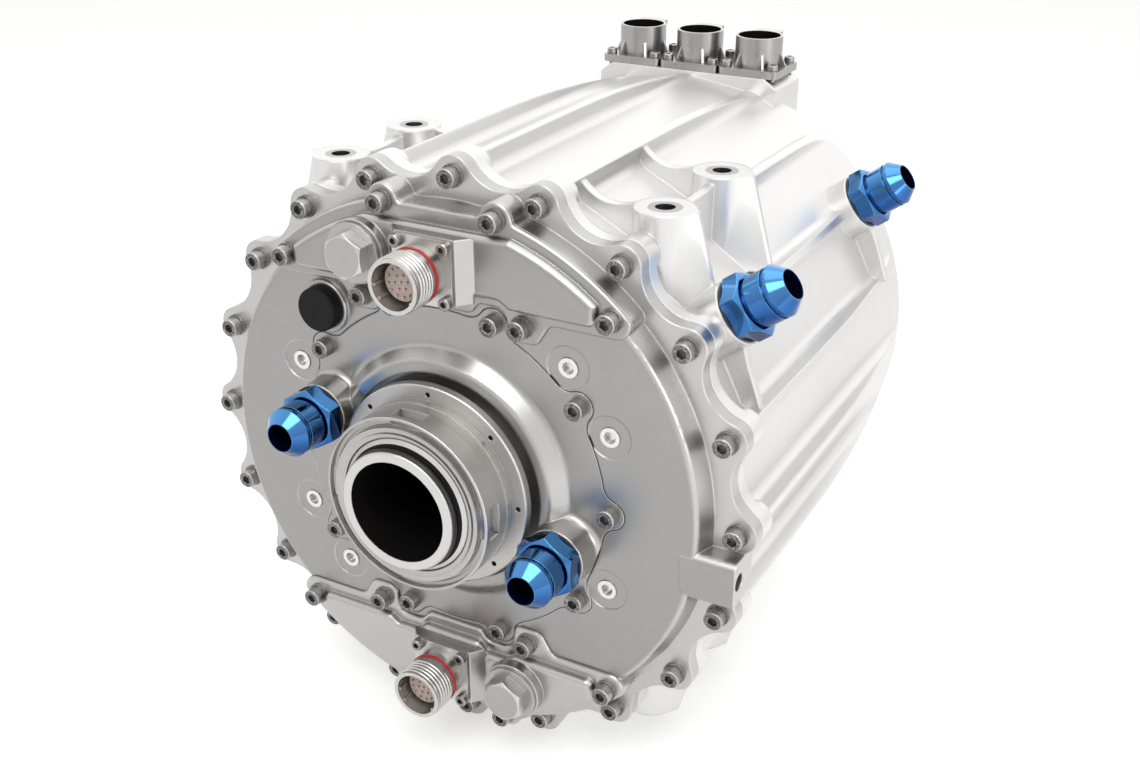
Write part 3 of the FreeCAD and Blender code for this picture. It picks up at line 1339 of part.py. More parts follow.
save("rear_cover", [rear_cover()])
save("rear_cover_bolts", rear_cover_bolts())
save("cooling_sleeve", [ring(CAVITY_R, SLEEVE_R, SLEEVE_FRONT_Y, SLEEVE_REAR_Y)])
save("stator_core", [ring(SLEEVE_R, STATOR_BORE_R, CORE_FRONT_Y, CORE_REAR_Y)])
front_end = winding_end(CORE_FRONT_Y, CORE_FRONT_Y - WINDING_L)
rear_end = winding_end(CORE_REAR_Y, CORE_REAR_Y + WINDING_L)
save("stator_windings", [front_end, rear_end])

seal_front = BEARING_Y - SEAL_W - 1
save("shaft_seal", [ring(SEAL_SEAT_R, BEARING_SEAT_R + FIT_GAP, seal_front, seal_front + SEAL_W)])
for name, seat, y, width, length in (
    ("front", BEARING_SEAT_R, BEARING_Y, BEARING_W, ROLLER_L),
    ("rear", REAR_SEAT_R, REAR_BEARING_Y, REAR_BEARING_W, REAR_ROLLER_L),
):
    inner_ring, outer_ring, roller_set, roller_cage = bearing(seat, y, width, length)
    save(name + "_bearing_inner_ring", [inner_ring])
    save(name + "_bearing_outer_ring", [outer_ring])
    save(name + "_bearing_rollers", roller_set)
    save(name + "_bearing_cage", [roller_cage])

save("rotor_shaft", [rotor_shaft()])
save("shaft_flange", [shaft_flange()])
save("lock_ring", [lock_ring()])
save("shaft_oring", [shaft_oring()])
magnets = [spun(magnet(), a) for a in steps(POLES)]
save("rotor_magnets", magnets)
save("rotor_core", [ring(CORE_R, CORE_SEAT_R, CORE_FRONT_Y, CORE_REAR_Y).cut(magnets)])
plates = []
for plate_y in (CORE_FRONT_Y - END_PLATE_T, CORE_REAR_Y):
    plates.append(ring(END_PLATE_R, CORE_SEAT_R, plate_y, plate_y + END_PLATE_T))
save("rotor_end_plates", plates)
resolver_y = REAR_BEARING_Y + REAR_BEARING_W
resolver_end = resolver_y + RESOLVER_W
save("resolver_rotor", [ring(RESOLVER_ROTOR_R, RESOLVER_SEAT_R, resolver_y + RESOLVER_GAP, resolver_end)])
save("resolver_stator", [ring(REAR_OUTER_R, RESOLVER_BORE_R, resolver_y, resolver_end)])
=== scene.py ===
"""Looks of the liquid-cooled electric car motor: procedural finishes, small trim, soft studio and camera.

Lengths are metres in the model's frame: +Z is up, and the shaft lies along Y with its output end towards -Y.
Colours are linear.
"""

import json
import math
from dataclasses import dataclass, replace

import bmesh
import bpy
from mathutils import Matrix, Vector


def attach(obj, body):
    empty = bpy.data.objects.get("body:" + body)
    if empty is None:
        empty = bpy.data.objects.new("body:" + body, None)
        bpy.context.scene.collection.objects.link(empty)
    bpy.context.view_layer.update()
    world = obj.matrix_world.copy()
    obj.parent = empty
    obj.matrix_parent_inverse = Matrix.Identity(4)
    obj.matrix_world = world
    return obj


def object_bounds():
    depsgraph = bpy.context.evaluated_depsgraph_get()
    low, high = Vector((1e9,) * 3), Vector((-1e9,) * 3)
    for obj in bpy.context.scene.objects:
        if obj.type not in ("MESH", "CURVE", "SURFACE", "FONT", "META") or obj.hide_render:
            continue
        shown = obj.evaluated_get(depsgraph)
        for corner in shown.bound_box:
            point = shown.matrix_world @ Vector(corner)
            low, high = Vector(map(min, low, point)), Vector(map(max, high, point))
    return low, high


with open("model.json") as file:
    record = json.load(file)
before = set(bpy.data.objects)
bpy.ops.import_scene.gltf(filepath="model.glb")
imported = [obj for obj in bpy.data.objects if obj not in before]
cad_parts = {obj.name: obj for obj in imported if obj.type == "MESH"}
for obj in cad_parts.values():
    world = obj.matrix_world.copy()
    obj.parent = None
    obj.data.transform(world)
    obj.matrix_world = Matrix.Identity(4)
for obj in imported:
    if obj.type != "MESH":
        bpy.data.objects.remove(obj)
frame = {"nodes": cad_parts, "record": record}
cad_low, cad_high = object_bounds()
nodes = frame["nodes"]
slots = {row["node"]: row["material_slot"] for row in frame["record"]["subparts"]}
scene = bpy.context.scene
scene.view_settings.view_transform = "Standard"

# Camera, where the photograph was taken from
CAMERA_AT = Vector((0.29953, -0.44826, 0.29283))
CAMERA_BACK = Vector((0.43434, -0.79348, 0.42630))
SENSOR_MM = 36.0
LENS_MM = 43.39
NEAREST_SEEN = 0.01

# Studio
FLOOR_SIZE = 30.0
FLOOR_Z = cad_low.z - 0.0002
FLOOR_WHITE = (0.9, 0.9, 0.9)
FLOOR_ROUGHNESS = 0.9
FLOOR_LIFT = 0.45
ROOM_WHITE = (1.0, 0.995, 0.985)
ROOM_BRIGHT_WAY = Vector((-0.35, 0.80, 0.45)).normalized()
ROOM_STRENGTH = (0.32, 0.80)
ROOM_TURN = (0.1, 0.9)
ROOM_LIFT = 0.68
LAMPS = {
    "overhead": dict(at=(0.0, 0.45, 1.6), aim=(0.0, 0.1, 0.0), size=1.4, size_y=1.2, watts=4),
    "front_top": dict(at=(0.35, -0.80, 1.40), aim=(0.0, 0.0, 0.0), size=1.5, size_y=0.8, watts=13),
    "right": dict(at=(1.7, -0.3, 0.42), aim=(0.0, 0.0, 0.0), size=0.6, size_y=0.9, watts=5),
}

ALONG_SHAFT = (0.0, 1.0, 0.0)
UP = (0.0, 0.0, 1.0)

# Shaft: its bore, which is painted dark inside as shade, its neck, which is painted near black, and where
# the faces behind the neck start
SHAFT_BORE_R = 0.0234
SHAFT_BORE_Y = -0.0508
NECK_Y = (-0.0500, -0.0454)
BEHIND_NECK_Y = -0.046

# Castings: where the front faces of the covers end, and past what the mounting bosses are milled
COVER_FACES_Y = -0.005
MILLED_X = 0.064
MILLED_Z = 0.1213

# Blue fittings: on the front at opposite ends of a line through the shaft, and on the right side
FITTING_BORE_R = 0.0064
FRONT_FITTING_R = 0.0626
FRONT_RIGHT_DEGREES = -18.5
SIDE_DEGREES = 36.0
SIDE_FRONT_Y = 0.031
SIDE_REAR_Y = 0.2015

# Phase sockets, side by side on top
SOCKET_Y = 0.246
SOCKET_STEP = 0.0341
SOCKET_BORE_R = 0.0112

# Signal connectors: the barrel, the insert inside it and the raised block that carries the pins
CONNECTOR_Z = 0.098
INSERT_Y = -0.032
BLOCK_Y = -0.0385
MOUTH_Y = -0.045
BARREL_R = 0.0116
BARREL_BORE_R = 0.0099
BLOCK_R = 0.0082
BLOCK_EDGE = 0.0003
BLOCK_SIDES = 64

# Coupling thread
THREAD_PITCH = 0.0019
THREAD_TURNS = 5.2
THREAD_STEPS = 64
THREAD_FADE_STEPS = 16.0
THREAD_FROM_MOUTH = 0.0014
THREAD_CREST = 0.00055
THREAD_HALF_W = 0.00062
THREAD_CREST_SHARE = 0.25
THREAD_SUNK = 0.00015

# Contact pins: rings of a radius and a count, and the nose of a pin in shares of its radius and steps out
PIN_R = 0.00050
PIN_SIDES = 16
PIN_RINGS = ((0.0, 1), (0.0031, 6), (0.0061, 12))
PIN_DEGREES = 10.0
PIN_LENGTH = 0.0010
PIN_SUNK = 0.0005
PIN_NOSE = ((0.8, 0.00030), (0.4, 0.00045), (0.0, 0.0005))

# Polarising ribs
KEY_DEGREES = (90.0, 185.0, 220.0, 320.0, 355.0)
KEY_HALF_W = 0.00075
KEY_RISE = 0.0010
KEY_TOP_SHARE = 0.7
KEY_SUNK = 0.0002
KEY_FROM_MOUTH = 0.0012

# Painted shadow in the gap beside the bearing cover: the front face, where its outline lies, and the black
# bead along it
FACE_Y = -0.0107
FACE_TOLERANCE = 2e-5
OUTLINE_LEAST_R = 0.0740
BEAD_R = 0.00030
BEAD_ROUNDING = 2
BEAD_OUT = 0.00015
BEAD_BEHIND = 0.00022

# Meshes: points that count as one, and how squarely a flat face looks along the shaft
SAME_POINT = 1e-7
FLAT_ENOUGH = 0.9

# Values between which a mask rises or falls, from what it measures
SHARP_EDGE = (0.75, 0.99)
NARROW_GAP = (0.10, 0.62)
SQUARE_FACE = (0.84, 0.99)
FACING_UP = (-0.7, 0.75)
LIGHT_GRAIN = (0.50, 0.66)
DARK_GRAIN = (0.55, 0.75)
WHOLE = (0.0, 1.0)

# What all looks have in common: shares of their colour, of the wear and painted highlight on their edges and
# of their gloss, milled metal, coats and reliefs
PATCH_TINT = 0.94
GRAIN_TINT = 0.8
FLECK_TINT = 1.6
LEAST_WEAR_AND_HIGHLIGHT = 0.35
BORE_GLOSS = 0.2
GRIME_A_PATCH = 6
MILLED_TINT = (0.60, 0.60, 0.59)
MILLED_SMOOTHER = 0.12
COAT_ROUGHNESS = 0.08
RIDGE_RELIEF = (0.6, 0.0005)
TOOL_MARK_RELIEF = (0.10, 0.00004)


def radial(r, degrees):
    """Point at radius r from the shaft, at an angle from +X towards +Z."""
    a = math.radians(degrees)
    return (r * math.cos(a), 0.0, r * math.sin(a))


def scaled(color, share):
    """Darker or lighter shade of a colour."""
    return tuple(c * share for c in color)


def lighter(color):
    """Colour of worn edges, partly a painted highlight, where a look doesn't name its own."""
    return tuple(min(1.0, c * 1.25 + 0.05) for c in color)


@dataclass(frozen=True)
class Look:
    """What a surface looks like."""

    color: tuple = (0.5, 0.5, 0.5)
    metallic: float = 1.0
    roughness: float = 0.30
    # Level of the reflection of what isn't metal, and weight of a clear coat
    gloss: float = 0.5
    coat: float = 0.0
    # Fine grain: cells in a metre, strength and height of its relief, how far it darkens the colour
    grain: float = 1600.0
    bump: float = 0.1
    depth: float = 0.0002
    speckle: float = 0.35
    # Broad patches: how many in a metre, and how far they move the roughness
    patch: float = 22.0
    vary: float = 0.03
    # Sharp edges: the radius that they look rounded to, their worn colour, partly a painted highlight, and
    # how much of it shows
    bevel: float = 0.0006
    bright: tuple = None
    wear_and_highlight: float = 0.6
    # Gaps and corners, painted shade: how far the shade reaches, and the share of the colour that is left in
    # them
    gap: float = 0.003
    shade: float = 0.30
    # Painted shade: colour of what faces down
    painted_under_shade: tuple = None
    # Painted shade: colour of faces square to the shaft, the grain in it, and the stretch along the shaft
    # that has it
    head: tuple = None
    front_shade_fleck: tuple = None
    within: tuple = None
    # Whether the tops of the mounting bosses are milled
    milled: bool = False
    # Rings round the shaft: fine tool marks and coarse ridges, in a metre
    turned: float = 0.0
    ridges: float = 0.0
    # A hollow that is painted dark inside as shade, a stretch along the shaft that is painted near black,
    # and the colour of both
    bore: tuple = None
    band: tuple = None
    dark: tuple = (0.009, 0.008, 0.008)


# Shared looks that paint light and shade: darker colours on faces square to the shaft, edge colours that are
# partly painted highlight, and shade in gaps and corners
STEEL = Look(bevel=0.0003)
TURNED_STEEL = replace(STEEL, roughness=0.40, bevel=0.0005, turned=3000.0, bright=(0.90, 0.89, 0.86),
                       wear_and_highlight=0.8, patch=14.0, shade=0.2)
PLASTIC = Look(metallic=0.0, bevel=0.0002)
COVER = Look(color=(0.50, 0.49, 0.48), head=(0.32, 0.314, 0.306), front_shade_fleck=(0.335, 0.328, 0.32),
             within=(-1.0, COVER_FACES_Y), metallic=0.95, grain=2600.0, bump=0.13, bright=(0.86, 0.85, 0.83),
             bevel=0.0011, patch=12.0, speckle=0.3, wear_and_highlight=1.0, shade=0.42)

# The look of each material slot. Their colours for faces square to the shaft and for what faces down are
# painted shade, their worn edge colours are partly painted highlight, and the shade in their gaps and
# corners is painted
LOOKS = {
    "housing_alloy": Look(color=(0.735, 0.73, 0.72), metallic=0.85, roughness=0.35, grain=2400.0, bump=0.16,
                          bevel=0.0014, patch=9.0, vary=0.02, speckle=0.2, milled=True, shade=0.55),
    "cover_alloy": COVER,
    "bolt_steel": replace(STEEL, color=(0.46, 0.45, 0.44), head=(0.13, 0.128, 0.125),
                          front_shade_fleck=(0.34, 0.335, 0.33), grain=1300.0, bump=0.9, depth=0.0004, speckle=1.0,
                          shade=0.10, wear_and_highlight=0.8),
    "small_screw_steel": replace(STEEL, color=(0.42, 0.41, 0.40), head=(0.22, 0.215, 0.21), grain=1800.0,
                                 bump=0.6, bevel=0.0002, shade=0.12),
    "connector_alloy": replace(STEEL, color=(0.56, 0.545, 0.525), roughness=0.34, shade=0.45),
    "insert_plastic": replace(PLASTIC, color=(0.66, 0.62, 0.59), roughness=0.5, shade=0.9),
    "band_red": replace(PLASTIC, color=(0.60, 0.015, 0.02), roughness=0.35, bevel=0.0001, coat=0.4,
                        shade=0.6),
    "plug_alloy": replace(STEEL, color=(0.62, 0.61, 0.60), head=(0.38, 0.373, 0.365),
                          front_shade_fleck=(0.40, 0.393, 0.385), bevel=0.0006, bright=(0.92, 0.91, 0.89)),
    "plug_steel": replace(STEEL, color=(0.72, 0.71, 0.70), roughness=0.28),
    "cap_plastic": Look(color=(0.007, 0.007, 0.008), metallic=0.0, roughness=0.62, grain=3600.0, bump=0.4,
                        gloss=0.2),
    # Blue fittings: the edge colour is a painted cyan highlight, and what faces down has painted shade
    "blue_anodised": Look(color=(0.085, 0.27, 0.60), painted_under_shade=(0.006, 0.035, 0.19), roughness=0.11,
                          bright=(0.22, 0.66, 0.95), bevel=0.0005, bump=0.02, wear_and_highlight=0.7, shade=0.2,
                          dark=(0.001, 0.003, 0.015)),
    "seal_rubber": replace(PLASTIC, color=(0.03, 0.03, 0.035), roughness=0.5),
    "oring_rubber": replace(PLASTIC, color=(0.012, 0.012, 0.013), roughness=0.32),
    "socket_alloy": replace(STEEL, color=(0.50, 0.49, 0.48), painted_under_shade=(0.27, 0.265, 0.26), roughness=0.28,
                            wear_and_highlight=0.25, shade=0.15),
    "contact_metal": replace(STEEL, color=(0.80, 0.60, 0.26), roughness=0.25),
    "insert_steel": replace(STEEL, color=(0.35, 0.35, 0.36), shade=0.1),
    "sleeve_alloy": replace(STEEL, color=(0.70, 0.70, 0.72)),
    "core_steel": replace(STEEL, color=(0.30, 0.30, 0.32), roughness=0.4),
    "copper_winding": replace(STEEL, color=(0.70, 0.32, 0.14), roughness=0.35, coat=0.5),
    "bearing_steel": replace(STEEL, color=(0.66, 0.66, 0.68), roughness=0.15),
    "cage_brass": replace(STEEL, color=(0.72, 0.52, 0.22)),
    "shaft_steel": replace(TURNED_STEEL, color=(0.60, 0.587, 0.57), head=(0.45, 0.438, 0.425),
                           front_shade_fleck=(0.48, 0.467, 0.453), within=(BEHIND_NECK_Y, 1.0)),
    "ring_steel": replace(TURNED_STEEL, color=(0.66, 0.645, 0.625), head=(0.44, 0.428, 0.415),
                          front_shade_fleck=(0.47, 0.457, 0.443), ridges=125.0),
    "magnet_nickel": replace(STEEL, color=(0.60, 0.60, 0.56), roughness=0.25),
}

# Looks of single pieces that differ from their slot's
SINGLE_LOOKS = {
    "seal_case": Look(color=(0.42, 0.41, 0.40), metallic=0.9, roughness=0.35, shade=0.7),
    # The lower access cover's look is the cover with its faces square to the shaft painted lighter: a
    # painted reflection that makes it brighter than the upper cover
    "lit_cover_copy": replace(COVER, head=(0.46, 0.452, 0.442), front_shade_fleck=(0.48, 0.471, 0.46)),
    "pin_gold": Look(color=(0.80, 0.42, 0.34), roughness=0.25, bevel=0.0001),
    # Black of the bead that is painted shadow in the gap beside the bearing cover
    "gap_shadow_black": Look(color=(0.010, 0.010, 0.010), metallic=0.0, roughness=0.6, bevel=0.0001),
}
NODE_LOOKS = {"shaft_seal": "seal_case", "lower_access_cover": "lit_cover_copy"}

# Lines down the middle of the bores that are painted dark inside as shade, each a point and a direction
FITTING_LINES = {
    "front_right_fitting": (radial(FRONT_FITTING_R, FRONT_RIGHT_DEGREES), ALONG_SHAFT),
    "front_left_fitting": (radial(FRONT_FITTING_R, FRONT_RIGHT_DEGREES + 180.0), ALONG_SHAFT),
    "side_front_fitting": ((0.0, SIDE_FRONT_Y, 0.0), radial(1.0, SIDE_DEGREES)),
    "side_rear_fitting": ((0.0, SIDE_REAR_Y, 0.0), radial(1.0, SIDE_DEGREES)),
}
SOCKET_LINES = {
    "phase_socket_left": ((-SOCKET_STEP, SOCKET_Y, 0.0), UP),
    "phase_socket_middle": ((0.0, SOCKET_Y, 0.0), UP),
    "phase_socket_right": ((SOCKET_STEP, SOCKET_Y, 0.0), UP),
}


class Tree:
    """Short ways to add and join the nodes of a material or of the world."""

    def __init__(self, tree):
        self.tree = tree

    def put(self, socket, value):
        """Link an input to an output, or give it a value. A colour leaves out its alpha."""
        if isinstance(value, bpy.types.NodeSocket):
            self.tree.links.new(value, socket)
        elif socket.type == "RGBA":
            socket.default_value = (*value, 1.0)
        else:
            socket.default_value = value

    def add(self, kind, inputs=(), **settings):
        """New node, with pairs of an input's name or number and what it gets."""
        node = self.tree.nodes.new(kind)
        for key, value in settings.items():
            setattr(node, key, value)
        for socket, value in inputs:
            self.put(node.inputs[socket], value)
        return node

    def spread(self, source, low, high, start=0.3, end=0.7):
        """Source from start to end, stretched to go from low to high and held there."""
        node = self.add("ShaderNodeMapRange", [("Value", source), ("From Min", start), ("From Max", end),
                                               ("To Min", low), ("To Max", high)])
        return node.outputs["Result"]

    def math(self, operation, first, second=0.0):
        """Result of arithmetic on one or two numbers."""
        return self.add("ShaderNodeMath", enumerate((first, second)), operation=operation).outputs[0]

    def vector(self, operation, first, second=(0.0, 0.0, 0.0)):
        """Result of arithmetic on one or two vectors."""
        node = self.add("ShaderNodeVectorMath", enumerate((first, second)), operation=operation)
        return node.outputs["Value" if operation in ("LENGTH", "DOT_PRODUCT") else "Vector"]

    def parts(self, source):
        """The X, Y and Z of a vector."""
        return self.add("ShaderNodeSeparateXYZ", [("Vector", source)]).outputs

    def lift(self, strength):
        """Strength of light that only the camera and what metal or glass shows of the background can see."""
        path = self.add("ShaderNodeLightPath").outputs
        seen = self.math("ADD", path["Is Camera Ray"], path["Is Glossy Ray"])
        seen = self.math("ADD", seen, path["Is Transmission Ray"])
        return self.math("MULTIPLY", seen, strength)


class Surface(Tree):
    """The nodes of a material, with the masks that its look is made of."""

    def __init__(self, name):
        self.material = bpy.data.materials.new(name)
        self.material.use_nodes = True
        super().__init__(self.material.node_tree)
        self.main = self.tree.nodes["Principled BSDF"].inputs
        self.place = self.add("ShaderNodeTexCoord").outputs["Object"]
        self.face = self.add("ShaderNodeNewGeometry").outputs
        self.at = self.parts(self.place)

    def noise(self, scale, detail, place=None):
        """Cloudy pattern with a number of cells in a metre."""
        node = self.add("ShaderNodeTexNoise", [("Vector", place or self.place), ("Scale", scale),
                                               ("Detail", detail)])
        return node.outputs["Fac"]

    def mix(self, factor, first, second):
        """Colour that goes from first to second. The node's colour inputs are 6 and 7, its output is 2."""
        node = self.add("ShaderNodeMix", [(0, factor), (6, first), (7, second)], data_type="RGBA")
        return node.outputs[2]

    def edges(self, radius):
        """Rounded normal, and a mask that rises on sharp edges."""
        bevel = self.add("ShaderNodeBevel", [("Radius", radius)], samples=4)
        turn = self.vector("DOT_PRODUCT", bevel.outputs["Normal"], self.face["True Normal"])
        return bevel.outputs["Normal"], self.spread(turn, 1.0, 0.0, *SHARP_EDGE)

    def painted_crevice_shade(self, reach):
        """Mask of painted shade that rises in narrow gaps and corners."""
        node = self.add("ShaderNodeAmbientOcclusion", [("Distance", reach)], samples=3)
        return self.spread(node.outputs["AO"], 1.0, 0.0, *NARROW_GAP)

    def bump(self, height, strength, distance, normal):
        """Normal with a pattern pressed into it."""
        node = self.add("ShaderNodeBump", [("Height", height), ("Normal", normal), ("Strength", strength),
                                           ("Distance", distance)])
        return node.outputs["Normal"]

    def around(self, turns):
        """Texture place that runs in rings round the shaft: fast across the radius, slow round it."""
        flat = self.vector("MULTIPLY", self.place, (1.0, 0.0, 1.0))
        rings = self.math("MULTIPLY", self.vector("LENGTH", flat), turns)
        along = self.math("MULTIPLY", self.at["Y"], turns)
        return self.add("ShaderNodeCombineXYZ", [("X", rings), ("Y", along)]).outputs[0]

    def between(self, start, end):
        """Mask of what lies between two places along the shaft."""
        after = self.math("GREATER_THAN", self.at["Y"], start)
        return self.math("MULTIPLY", after, self.math("LESS_THAN", self.at["Y"], end))

    def past(self, axis, distance):
        """Mask of what lies further than a distance from the shaft, on both sides along X or Z."""
        return self.math("GREATER_THAN", self.math("ABSOLUTE", self.at[axis]), distance)

    def square_to_shaft(self):
        """Mask of the faces that look along the shaft."""
        turn = self.vector("DOT_PRODUCT", self.face["True Normal"], ALONG_SHAFT)
        return self.spread(self.math("ABSOLUTE", turn), 0.0, 1.0, *SQUARE_FACE)

    def hollow(self, at, along, radius, front=None):
        """Mask of what lies within radius of the line through at, and behind front on the shaft."""
        away = self.vector("SUBTRACT", self.place, at)
        across = self.vector("SUBTRACT", away, self.vector("PROJECT", away, along))
        mask = self.math("LESS_THAN", self.vector("LENGTH", across), radius)
        if front is None:
            return mask
        return self.math("MULTIPLY", mask, self.math("GREATER_THAN", self.at["Y"], front))


def base_tint(s, look, fine, broad):
    """Colour before worn edges and their painted highlight: broad patches, painted shade on what faces down,
    and painted shade on grainy faces square to the shaft.
    """
    tint = s.mix(s.spread(broad, 0.0, 1.0), scaled(look.color, PATCH_TINT), look.color)
    # Painted shade: what faces down turns towards a darker colour
    if look.painted_under_shade:
        height = s.parts(s.face["Normal"])["Z"]
        tint = s.mix(s.spread(height, 0.0, 1.0, *FACING_UP), look.painted_under_shade, tint)
    # Painted shade: faces square to the shaft turn towards a darker colour
    if look.head:
        front = s.square_to_shaft()
        if look.within:
            front = s.math("MULTIPLY", front, s.between(*look.within))
        grainy = s.spread(fine, 0.0, 1.0, *LIGHT_GRAIN)
        tint = s.mix(front, tint, s.mix(grainy, look.head, look.front_shade_fleck or scaled(look.head, FLECK_TINT)))
    return tint


def milled_tops(s, tint, rough):
    """Colour and roughness where the tops of the mounting bosses are greyer and smoother than elsewhere."""
    milled = s.math("MULTIPLY", s.past("Z", MILLED_Z), s.past("X", MILLED_X))
    tint = s.mix(milled, tint, MILLED_TINT)
    return tint, s.math("SUBTRACT", rough, s.spread(milled, 0.0, MILLED_SMOOTHER, *WHOLE))


def aged_tint(s, look, tint, fine, grime, edge):
    """Colour with dark grain, worn edges lightened partly as a painted highlight, and painted shade in gaps
    and corners.
    """
    tint = s.mix(s.spread(fine, 0.0, look.speckle, *DARK_GRAIN), tint, scaled(look.color, GRAIN_TINT))
    # Worn edges, partly a painted highlight, turn towards the edge colour
    worn_and_highlit = s.math("MULTIPLY", edge, s.spread(grime, look.wear_and_highlight * LEAST_WEAR_AND_HIGHLIGHT, look.wear_and_highlight))
    tint = s.mix(worn_and_highlit, tint, look.bright or lighter(look.color))
    # Painted shade: gaps and corners darken
    return s.mix(s.painted_crevice_shade(look.gap), tint, scaled(look.color, look.shade))


def darkened_bore_and_band(s, look, tint):
    """Colour, metal and gloss with the bore painted dark and matt as shade, and the band painted dark and
    matt.
    """
    black = s.hollow(*look.bore)
    if look.band:
        black = s.math("MAXIMUM", black, s.between(*look.band))
    metallic = s.spread(black, look.metallic, 0.0, *WHOLE)
    gloss = s.spread(black, look.gloss, look.gloss * BORE_GLOSS, *WHOLE)
    return s.mix(black, tint, look.dark), metallic, gloss


def relief(s, look, fine, normal):
    """Normal with the relief of the grain, coarse ridges and tool marks."""
    normal = s.bump(fine, look.bump, look.depth, normal)
    if look.ridges:
        wave = s.add("ShaderNodeTexWave", [("Vector", s.place), ("Scale", look.ridges)], wave_type="RINGS",
                     rings_direction="Y")
        normal = s.bump(wave.outputs["Fac"], *RIDGE_RELIEF, normal)
    if look.turned:
        normal = s.bump(s.noise(1.0, 2.0, s.around(look.turned)), *TOOL_MARK_RELIEF, normal)
    return normal


def finish(name, look):
    """Material of a look."""
    s = Surface(name)
    fine = s.noise(look.grain, 4.0)
    broad = s.noise(look.patch, 2.0)
    grime = s.noise(look.patch * GRIME_A_PATCH, 5.0)
    normal, edge = s.edges(look.bevel)
    tint = base_tint(s, look, fine, broad)
    patches = s.spread(broad, look.roughness - look.vary, look.roughness + look.vary)
    rough = s.math("ADD", patches, s.spread(grime, -look.vary, look.vary))
    if look.milled:
        tint, rough = milled_tops(s, tint, rough)
    tint = aged_tint(s, look, tint, fine, grime, edge)
    metallic, gloss = look.metallic, look.gloss
    # Painted shade: the inside of the bore turns dark and matt, and the band near black
    if look.bore:
        tint, metallic, gloss = darkened_bore_and_band(s, look, tint)
    s.put(s.main["Base Color"], tint)
    s.put(s.main["Metallic"], metallic)
    s.put(s.main["Specular IOR Level"], gloss)
    s.put(s.main["Roughness"], rough)
    if look.coat:
        s.put(s.main["Coat Weight"], look.coat)
        s.put(s.main["Coat Roughness"], COAT_ROUGHNESS)
    s.put(s.main["Normal"], relief(s, look, fine, normal))
    return s.material


def dress():
    """Give each node of the frame its finish, and return the finishes by name."""
    finishes = {name: finish(name, look) for name, look in {**LOOKS, **SINGLE_LOOKS}.items()}
    # The shaft's bore and the bores of fittings and sockets are painted dark inside as shade, and the
    # shaft's neck near black
    shaft_bore = ((0.0, 0.0, 0.0), ALONG_SHAFT, SHAFT_BORE_R, SHAFT_BORE_Y)
    bores = {"rotor_shaft": dict(bore=shaft_bore, band=NECK_Y)}
    for lines, radius in ((FITTING_LINES, FITTING_BORE_R), (SOCKET_LINES, SOCKET_BORE_R)):
        for name, line in lines.items():
            bores[name] = dict(bore=(*line, radius))
    for name, node in nodes.items():
        look = finishes[NODE_LOOKS.get(name, slots[name])]
        if name in bores:
            look = finish(slots[name] + "_" + name, replace(LOOKS[slots[name]], **bores[name]))
        node.data.materials.clear()
        node.data.materials.append(look)
    return finishes


def piece(name, data, look):
    """A piece of trim on the housing, in a finish."""
    shown = bpy.data.objects.new(name, data)
    scene.collection.objects.link(shown)
    data.materials.append(look)
    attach(shown, "housing")


def join_rows(work, here, after):
    """Faces between two rows of points."""
    for j in range(len(here) - 1):
        work.faces.new((here[j], here[j + 1], after[j + 1], after[j]))


def lathe(work, centre, profile, sides):
    """Surface of (radius, y) points turned round a line along Y through centre, an (x, z) pair."""
    rows = []
    for k in range(sides):
        a = 2.0 * math.pi * k / sides
        rows.append([work.verts.new((centre[0] + r * math.cos(a), y, centre[1] + r * math.sin(a)))
                     for r, y in profile])
    for k in range(sides):
        join_rows(work, rows[k], rows[(k + 1) % sides])


def mesh_of(work, name, smooth=True):
    """Mesh with its points merged and its faces turned outwards."""
    bmesh.ops.remove_doubles(work, verts=work.verts, dist=SAME_POINT)
    bmesh.ops.recalc_face_normals(work, faces=work.faces)
    for face in work.faces:
        face.smooth = smooth
    mesh = bpy.data.meshes.new(name)
    work.to_mesh(mesh)
    work.free()
    return mesh


def thread(name, z):
    """Coarse thread on a connector barrel at height z: one ridge that climbs it and fades at its ends."""
    work = bmesh.new()
    rows = []
    count = int(THREAD_TURNS * THREAD_STEPS)
    root = BARREL_R - THREAD_SUNK
    for k in range(count + 1):
        a = 2.0 * math.pi * k / THREAD_STEPS
        fade = min(1.0, k / THREAD_FADE_STEPS, (count - k) / THREAD_FADE_STEPS)
        crest = BARREL_R + THREAD_CREST * fade
        y = MOUTH_Y + THREAD_FROM_MOUTH + THREAD_PITCH * k / THREAD_STEPS
        half, narrow = THREAD_HALF_W, THREAD_HALF_W * THREAD_CREST_SHARE
        rows.append([work.verts.new((r * math.cos(a), y + dy, z + r * math.sin(a)))
                     for r, dy in ((root, -half), (crest, -narrow), (crest, narrow), (root, half))])
    for here, after in zip(rows, rows[1:]):
        join_rows(work, here, after)
    return mesh_of(work, name)


def pins(name, z):
    """Contact pins of the connector at height z."""
    work = bmesh.new()
    tip = BLOCK_Y - PIN_LENGTH
    nose = [(PIN_R * share, tip - out) for share, out in PIN_NOSE]
    for ring, count in PIN_RINGS:
        for k in range(count):
            x, _, dz = radial(ring, 360.0 * k / count + PIN_DEGREES)
            lathe(work, (x, z + dz), [(PIN_R, BLOCK_Y + PIN_SUNK), (PIN_R, tip)] + nose, PIN_SIDES)
    return mesh_of(work, name)


def pin_block(name, z):
    """Raised middle of the connector's insert, which carries the pins close to the mouth."""
    work = bmesh.new()
    lathe(work, (0.0, z), [(0.0, BLOCK_Y), (BLOCK_R - BLOCK_EDGE, BLOCK_Y), (BLOCK_R, BLOCK_Y + BLOCK_EDGE),
                           (BLOCK_R, INSERT_Y)], BLOCK_SIDES)
    return mesh_of(work, name)


